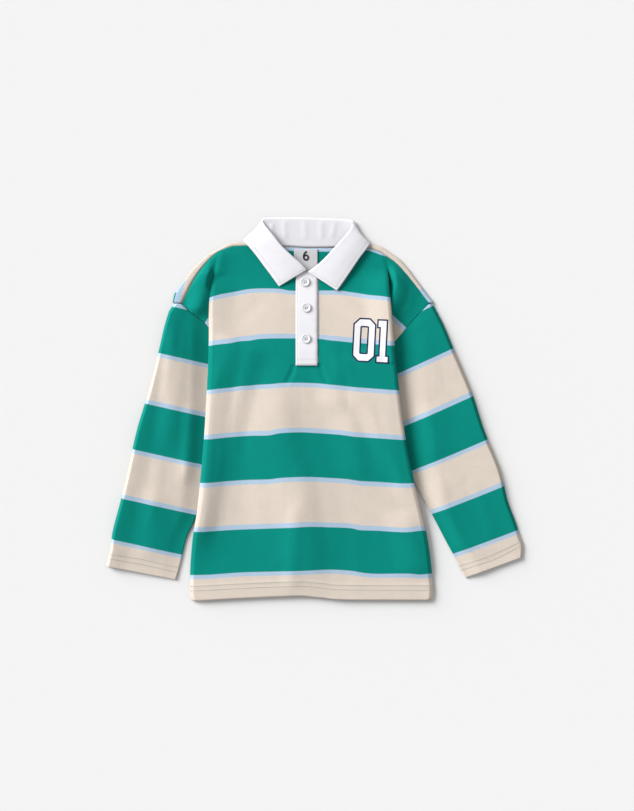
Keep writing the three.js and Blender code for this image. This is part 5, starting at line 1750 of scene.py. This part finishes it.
class ShirtColours(bpy.types.PropertyGroup):
    green: colour_property("Green", "Wide dark stripe", colour(3, 143, 130))
    beige: colour_property("Beige", "Wide pale stripe", colour(229, 216, 203))
    blue: colour_property("Light blue", "Narrow stripe", colour(184, 208, 231))
    twill: colour_property("Twill", "Collar and placket", colour(246, 245, 250))
    figure: colour_property("Figure", "Inside of the printed figures", colour(240, 240, 243))
    outline: colour_property("Outline", "Edge of the printed figures", colour(30, 40, 78))
    label: colour_property("Label", "Satin neck label", colour(216, 215, 219))
    ink: colour_property("Ink", "Size numeral on the neck label", colour(20, 20, 22))
    button: colour_property("Button", "Button plastic", colour(240, 240, 243))
    white_thread: colour_property("White thread", "Stitches of the collar and placket", colour(222, 221, 226))
    hem_thread: colour_property("Hem thread", "Stitches of the hem and cuffs", colour(150, 168, 158))
    floor: colour_property("Floor", "Ground under the shirt", colour(243, 243, 243))


def angle_property(name, description, degrees):
    return bpy.props.FloatProperty(
        name=name, description=description, default=math.radians(degrees), subtype="ANGLE", unit="ROTATION")


def share_property(name, description, default):
    return bpy.props.FloatProperty(
        name=name, description=description, default=default, min=0, max=2, subtype="FACTOR")


class ShirtStage(bpy.types.PropertyGroup):
    view_height: bpy.props.FloatProperty(
        name="View height", description="Length of ground from the bottom to the top of the picture",
        default=1.1516, unit="LENGTH")
    distance: bpy.props.FloatProperty(
        name="Camera distance", description="Height of the camera over the ground", default=2.6,
        unit="LENGTH")
    side: angle_property("Light side", "Turn of both lights to the left of the collar", 58)
    window: share_property("Window light", "Share of the ground's light from the window", 0.42)
    window_height: angle_property("Window height", "Angle of the window light over the ground", 32)
    window_softness: angle_property("Window softness", "Angle across the window light", 30)
    low: share_property("Low light", "Share of the ground's light that comes in low", 0.18)
    low_height: angle_property("Low height", "Angle of the low light over the ground", 14)
    low_softness: angle_property("Low softness", "Angle across the low light", 44)
    sky: share_property("Sky light", "Share of the ground's light from all round", 0.41)


# The ground's size and how far it lies under the shirt, in metres, the place that the camera looks at, in
# the tables' millimetres, and the camera's own sizes

GROUND = {"size": 12, "below": 0.0004}
VIEW_MIDDLE = (2.84, 5.7)
CAMERA = {"sensor": 24, "end": 50}


# One operator for each piece or group of like pieces


class ShirtFront(bpy.types.Operator):
    """Builds the front panel with its shoulders, creases, stripes and printed figures"""

    bl_idname = "shirt.front_panel"
    bl_label = "Front panel"

    def execute(self, context):
        scene = context.scene
        piece = build_front(scene.shirt_sizes, scene.shirt_colours)
        take_place(piece, ["front_panel"])
        return {"FINISHED"}


class ShirtBack(bpy.types.Operator):
    """Builds the back panel and its strips folded over the shoulders"""

    bl_idname = "shirt.back_panel"
    bl_label = "Back panel"

    def execute(self, context):
        scene = context.scene
        piece = build_back(scene.shirt_sizes, scene.shirt_colours)
        take_place(piece, ["back_panel"])
        return {"FINISHED"}


class ShirtSleeves(bpy.types.Operator):
    """Builds both sleeves as flattened tubes of striped jersey"""

    bl_idname = "shirt.sleeves"
    bl_label = "Sleeves"

    def execute(self, context):
        scene = context.scene
        for name, rows, armhole, edge, side, stripes, slope in (
            ("sleeve_left", LEFT_SLEEVE, LEFT_ARMHOLE, body_left, -1, LEFT_SLEEVE_STRIPES,
             LEFT_SLEEVE_SLOPE),
            ("sleeve_right", RIGHT_SLEEVE, RIGHT_ARMHOLE, body_right, 1, RIGHT_SLEEVE_STRIPES,
             RIGHT_SLEEVE_SLOPE),
        ):
            piece = build_sleeve(name, rows, armhole, edge, side, stripes, slope, scene.shirt_sizes)
            take_place(piece, [name])
        return {"FINISHED"}


class ShirtCollar(bpy.types.Operator):
    """Builds the white twill collar with its stand and its fall"""

    bl_idname = "shirt.collar"
    bl_label = "Collar"

    def execute(self, context):
        scene = context.scene
        piece = build_collar(scene.shirt_sizes, scene.shirt_colours)
        take_place(piece, ["collar"])
        return {"FINISHED"}


class ShirtPlacket(bpy.types.Operator):
    """Builds the upper and the under side of the placket"""

    bl_idname = "shirt.placket"
    bl_label = "Placket"

    def execute(self, context):
        top, under = build_placket()
        take_place(top, ["placket_top"])
        take_place(under, ["placket_under"])
        return {"FINISHED"}


class ShirtButtons(bpy.types.Operator):
    """Builds the three sewn buttons and the threads that hold them"""

    bl_idname = "shirt.buttons"
    bl_label = "Buttons"

    def execute(self, context):
        colours = context.scene.shirt_colours
        material = plain_material("Button plastic", colours.button, 0.28, Coat_Weight=0.3)
        seats = []
        for index, (x, y) in enumerate(BUTTON_PLACES):
            seat = float(placket_height(np.array([x]), np.array([y]))[0]) + BUTTON_LIFT
            piece = build_button(f"button_{index + 1}_turned", x, y, seat, material)
            take_place(piece, [f"button_{index + 1}"])
            seats.append(seat)
        points, faces = button_threads(seats)
        thread = plain_material("White thread", colours.white_thread, 0.7)
        threads = add_mesh("button_threads", points, faces, thread)
        ride_along(threads)
        return {"FINISHED"}


class ShirtLabel(bpy.types.Operator):
    """Builds the satin neck label with its size numeral"""

    bl_idname = "shirt.neck_label"
    bl_label = "Neck label"

    def execute(self, context):
        colours = context.scene.shirt_colours
        base = JERSEY + SEAM_GAP + LABEL_WALL

        def height(_, y):
            wave = np.sin((y - LABEL["bottom"]) / LABEL_WAVE["length"]) ** 2
            return base + LABEL_WAVE["rise"] * wave * smooth(LABEL["top"], LABEL_WAVE["end"], y)

        box = (LABEL["left"], LABEL["right"], LABEL["bottom"], LABEL["top"])
        material = satin_material("Label satin", colours.label)
        piece = flat_piece("neck_label_cloth", box, LABEL_COUNTS, height, LABEL_WALL, material)
        take_place(piece, ["neck_label"])
        points, faces = numeral_six(NUMERAL["x"], NUMERAL["y"], base + NUMERAL_LIFT)
        ink = plain_material("Label ink", colours.ink, 0.6)
        numeral = add_mesh("size_numeral", points, faces, ink)
        ride_along(numeral)
        return {"FINISHED"}


class ShirtStitching(bpy.types.Operator):
    """Sews the topstitching of collar and placket and the double rows of hem and cuffs"""

    bl_idname = "shirt.stitching"
    bl_label = "Stitching"

    def execute(self, context):
        scene = context.scene
        sizes, colours = scene.shirt_sizes, scene.shirt_colours
        tree = stitch_tree()
        white = bpy.data.materials["White thread"]
        sections = collar_sections(sizes.collar_stations)
        count = sizes.collar_stations
        left_end, right_start = (int(count * share) for share in LEAF_SHARES)
        first, last = LEAF_END, count - 1 - LEAF_END
        collar_lines = [
            leaf_line(sections, first, left_end, COLLAR_INSET),
            leaf_line(sections, right_start, last, COLLAR_INSET),
            sections[first, LEAF_EDGE][:, :2],
            sections[last, LEAF_EDGE][:, :2],
        ]
        lines = lay_on(collar_lines, ["collar_cloth"])
        inset = PLACKET_SEAMS["inset"]
        left, right = PLACKET["left"] + inset, PLACKET["right"] - inset
        bottom, top = PLACKET["bottom"] + inset, PLACKET["top"] - PLACKET_SEAMS["top"]
        second = bottom + PLACKET_SEAMS["second"]
        placket_lines = [
            [(left, bottom), (left, top)],
            [(right, bottom), (right, top)],
            [(left, bottom), (right, bottom)],
            [(left, second), (right, second)],
        ]
        lines += lay_on(placket_lines, ["placket_top_cloth"])
        piece = sew("white_stitches", lines, tree, sizes, white, WHITE_STITCH)
        ride_along(piece)

        across = np.linspace(*HEM_SPAN)
        hem_lines = []
        for depth in HEM_ROWS:
            y = look_up(HEM_LINE, "across", across, "y") + depth
            x = mix(body_left(y), body_right(y), across)
            hem_lines.append(np.stack([x, y], axis=1))
        lines = lay_on(hem_lines, ["front_panel_cloth"], HEM_THREAD_LIFT)
        lines += lay_on(CUFF_ROWS[:2], ["sleeve_left_cloth"], HEM_THREAD_LIFT)
        lines += lay_on(CUFF_ROWS[2:], ["sleeve_right_cloth"], HEM_THREAD_LIFT)
        thread = plain_material("Hem thread", colours.hem_thread, 0.75)
        piece = sew("hem_stitches", lines, tree, sizes, thread, HEM_STITCH)
        ride_along(piece)
        return {"FINISHED"}


class ShirtStageOperator(bpy.types.Operator):
    """Lays the pale ground, lights it softly and places the camera"""

    bl_idname = "shirt.stage"
    bl_label = "Stage"

    def execute(self, context):
        scene = context.scene
        stage, colours = scene.shirt_stage, scene.shirt_colours
        bpy.ops.mesh.primitive_plane_add(size=GROUND["size"], location=(0, 0, -GROUND["below"]))
        floor = bpy.context.object
        floor.name = "ground"
        floor.data.materials.append(plain_material("Pale ground", colours.floor, 0.95,
                                                   Specular_IOR_Level=0.0))

        world = bpy.data.worlds.new("Even sky")
        scene.world = world
        world.use_nodes = True
        board = Board(world.node_tree)
        sky = board.add("ShaderNodeBackground", None, {"Color": (1, 1, 1, 1), "Strength": stage.sky})
        board.add("ShaderNodeOutputWorld", None, {"Surface": sky})

        side = stage.side
        for name, share, height, softness in (
            ("window light", stage.window, stage.window_height, stage.window_softness),
            ("low light", stage.low, stage.low_height, stage.low_softness),
        ):
            lamp = bpy.data.lights.new(name, "SUN")
            lamp.energy = share * math.pi / math.sin(height)
            lamp.angle = softness
            lamp.cycles.max_bounces = 0
            light = bpy.data.objects.new(name, lamp)
            flat = math.cos(height)
            place = Vector((-math.sin(side) * flat, math.cos(side) * flat, math.sin(height)))
            light.rotation_euler = place.to_track_quat("Z", "Y").to_euler()
            scene.collection.objects.link(light)

        middle = row_place([*VIEW_MIDDLE, 0])
        camera_data = bpy.data.cameras.new("camera")
        camera_data.sensor_fit = "VERTICAL"
        camera_data.sensor_height = CAMERA["sensor"]
        camera_data.lens = camera_data.sensor_height * stage.distance / stage.view_height
        camera_data.clip_end = CAMERA["end"]
        camera = bpy.data.objects.new("camera", camera_data)
        camera.location = (middle[0], middle[1], stage.distance)
        scene.collection.objects.link(camera)
        scene.camera = camera
        scene.view_settings.view_transform = "Standard"
        return {"FINISHED"}


PIECE_OPERATORS = [
    ShirtFront, ShirtBack, ShirtSleeves, ShirtCollar, ShirtPlacket, ShirtButtons, ShirtLabel,
    ShirtStitching, ShirtStageOperator,
]


class ShirtPanel(bpy.types.Panel):
    """Lists the steps that build the shirt"""

    bl_idname = "VIEW3D_PT_shirt"
    bl_label = "Rugby shirt"
    bl_space_type = "VIEW_3D"
    bl_region_type = "UI"
    bl_category = "Shirt"

    def draw(self, context):
        layout = self.layout
        for group in (context.scene.shirt_sizes, context.scene.shirt_colours, context.scene.shirt_stage):
            column = layout.column()
            for name in group.__annotations__:
                column.prop(group, name)
        for operator in PIECE_OPERATORS:
            layout.operator(operator.bl_idname)


CLASSES = [ShirtSizes, ShirtColours, ShirtStage, *PIECE_OPERATORS, ShirtPanel]


def register():
    for item in CLASSES:
        bpy.utils.register_class(item)
    bpy.types.Scene.shirt_sizes = bpy.props.PointerProperty(type=ShirtSizes)
    bpy.types.Scene.shirt_colours = bpy.props.PointerProperty(type=ShirtColours)
    bpy.types.Scene.shirt_stage = bpy.props.PointerProperty(type=ShirtStage)


def unregister():
    del bpy.types.Scene.shirt_stage
    del bpy.types.Scene.shirt_colours
    del bpy.types.Scene.shirt_sizes
    for item in reversed(CLASSES):
        bpy.utils.unregister_class(item)


def main():
    register()
    bpy.ops.shirt.front_panel()
    bpy.ops.shirt.back_panel()
    bpy.ops.shirt.sleeves()
    bpy.ops.shirt.collar()
    bpy.ops.shirt.placket()
    bpy.ops.shirt.buttons()
    bpy.ops.shirt.neck_label()
    bpy.ops.shirt.stitching()
    bpy.ops.shirt.stage()
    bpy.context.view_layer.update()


if __name__ == "__main__":
    main()
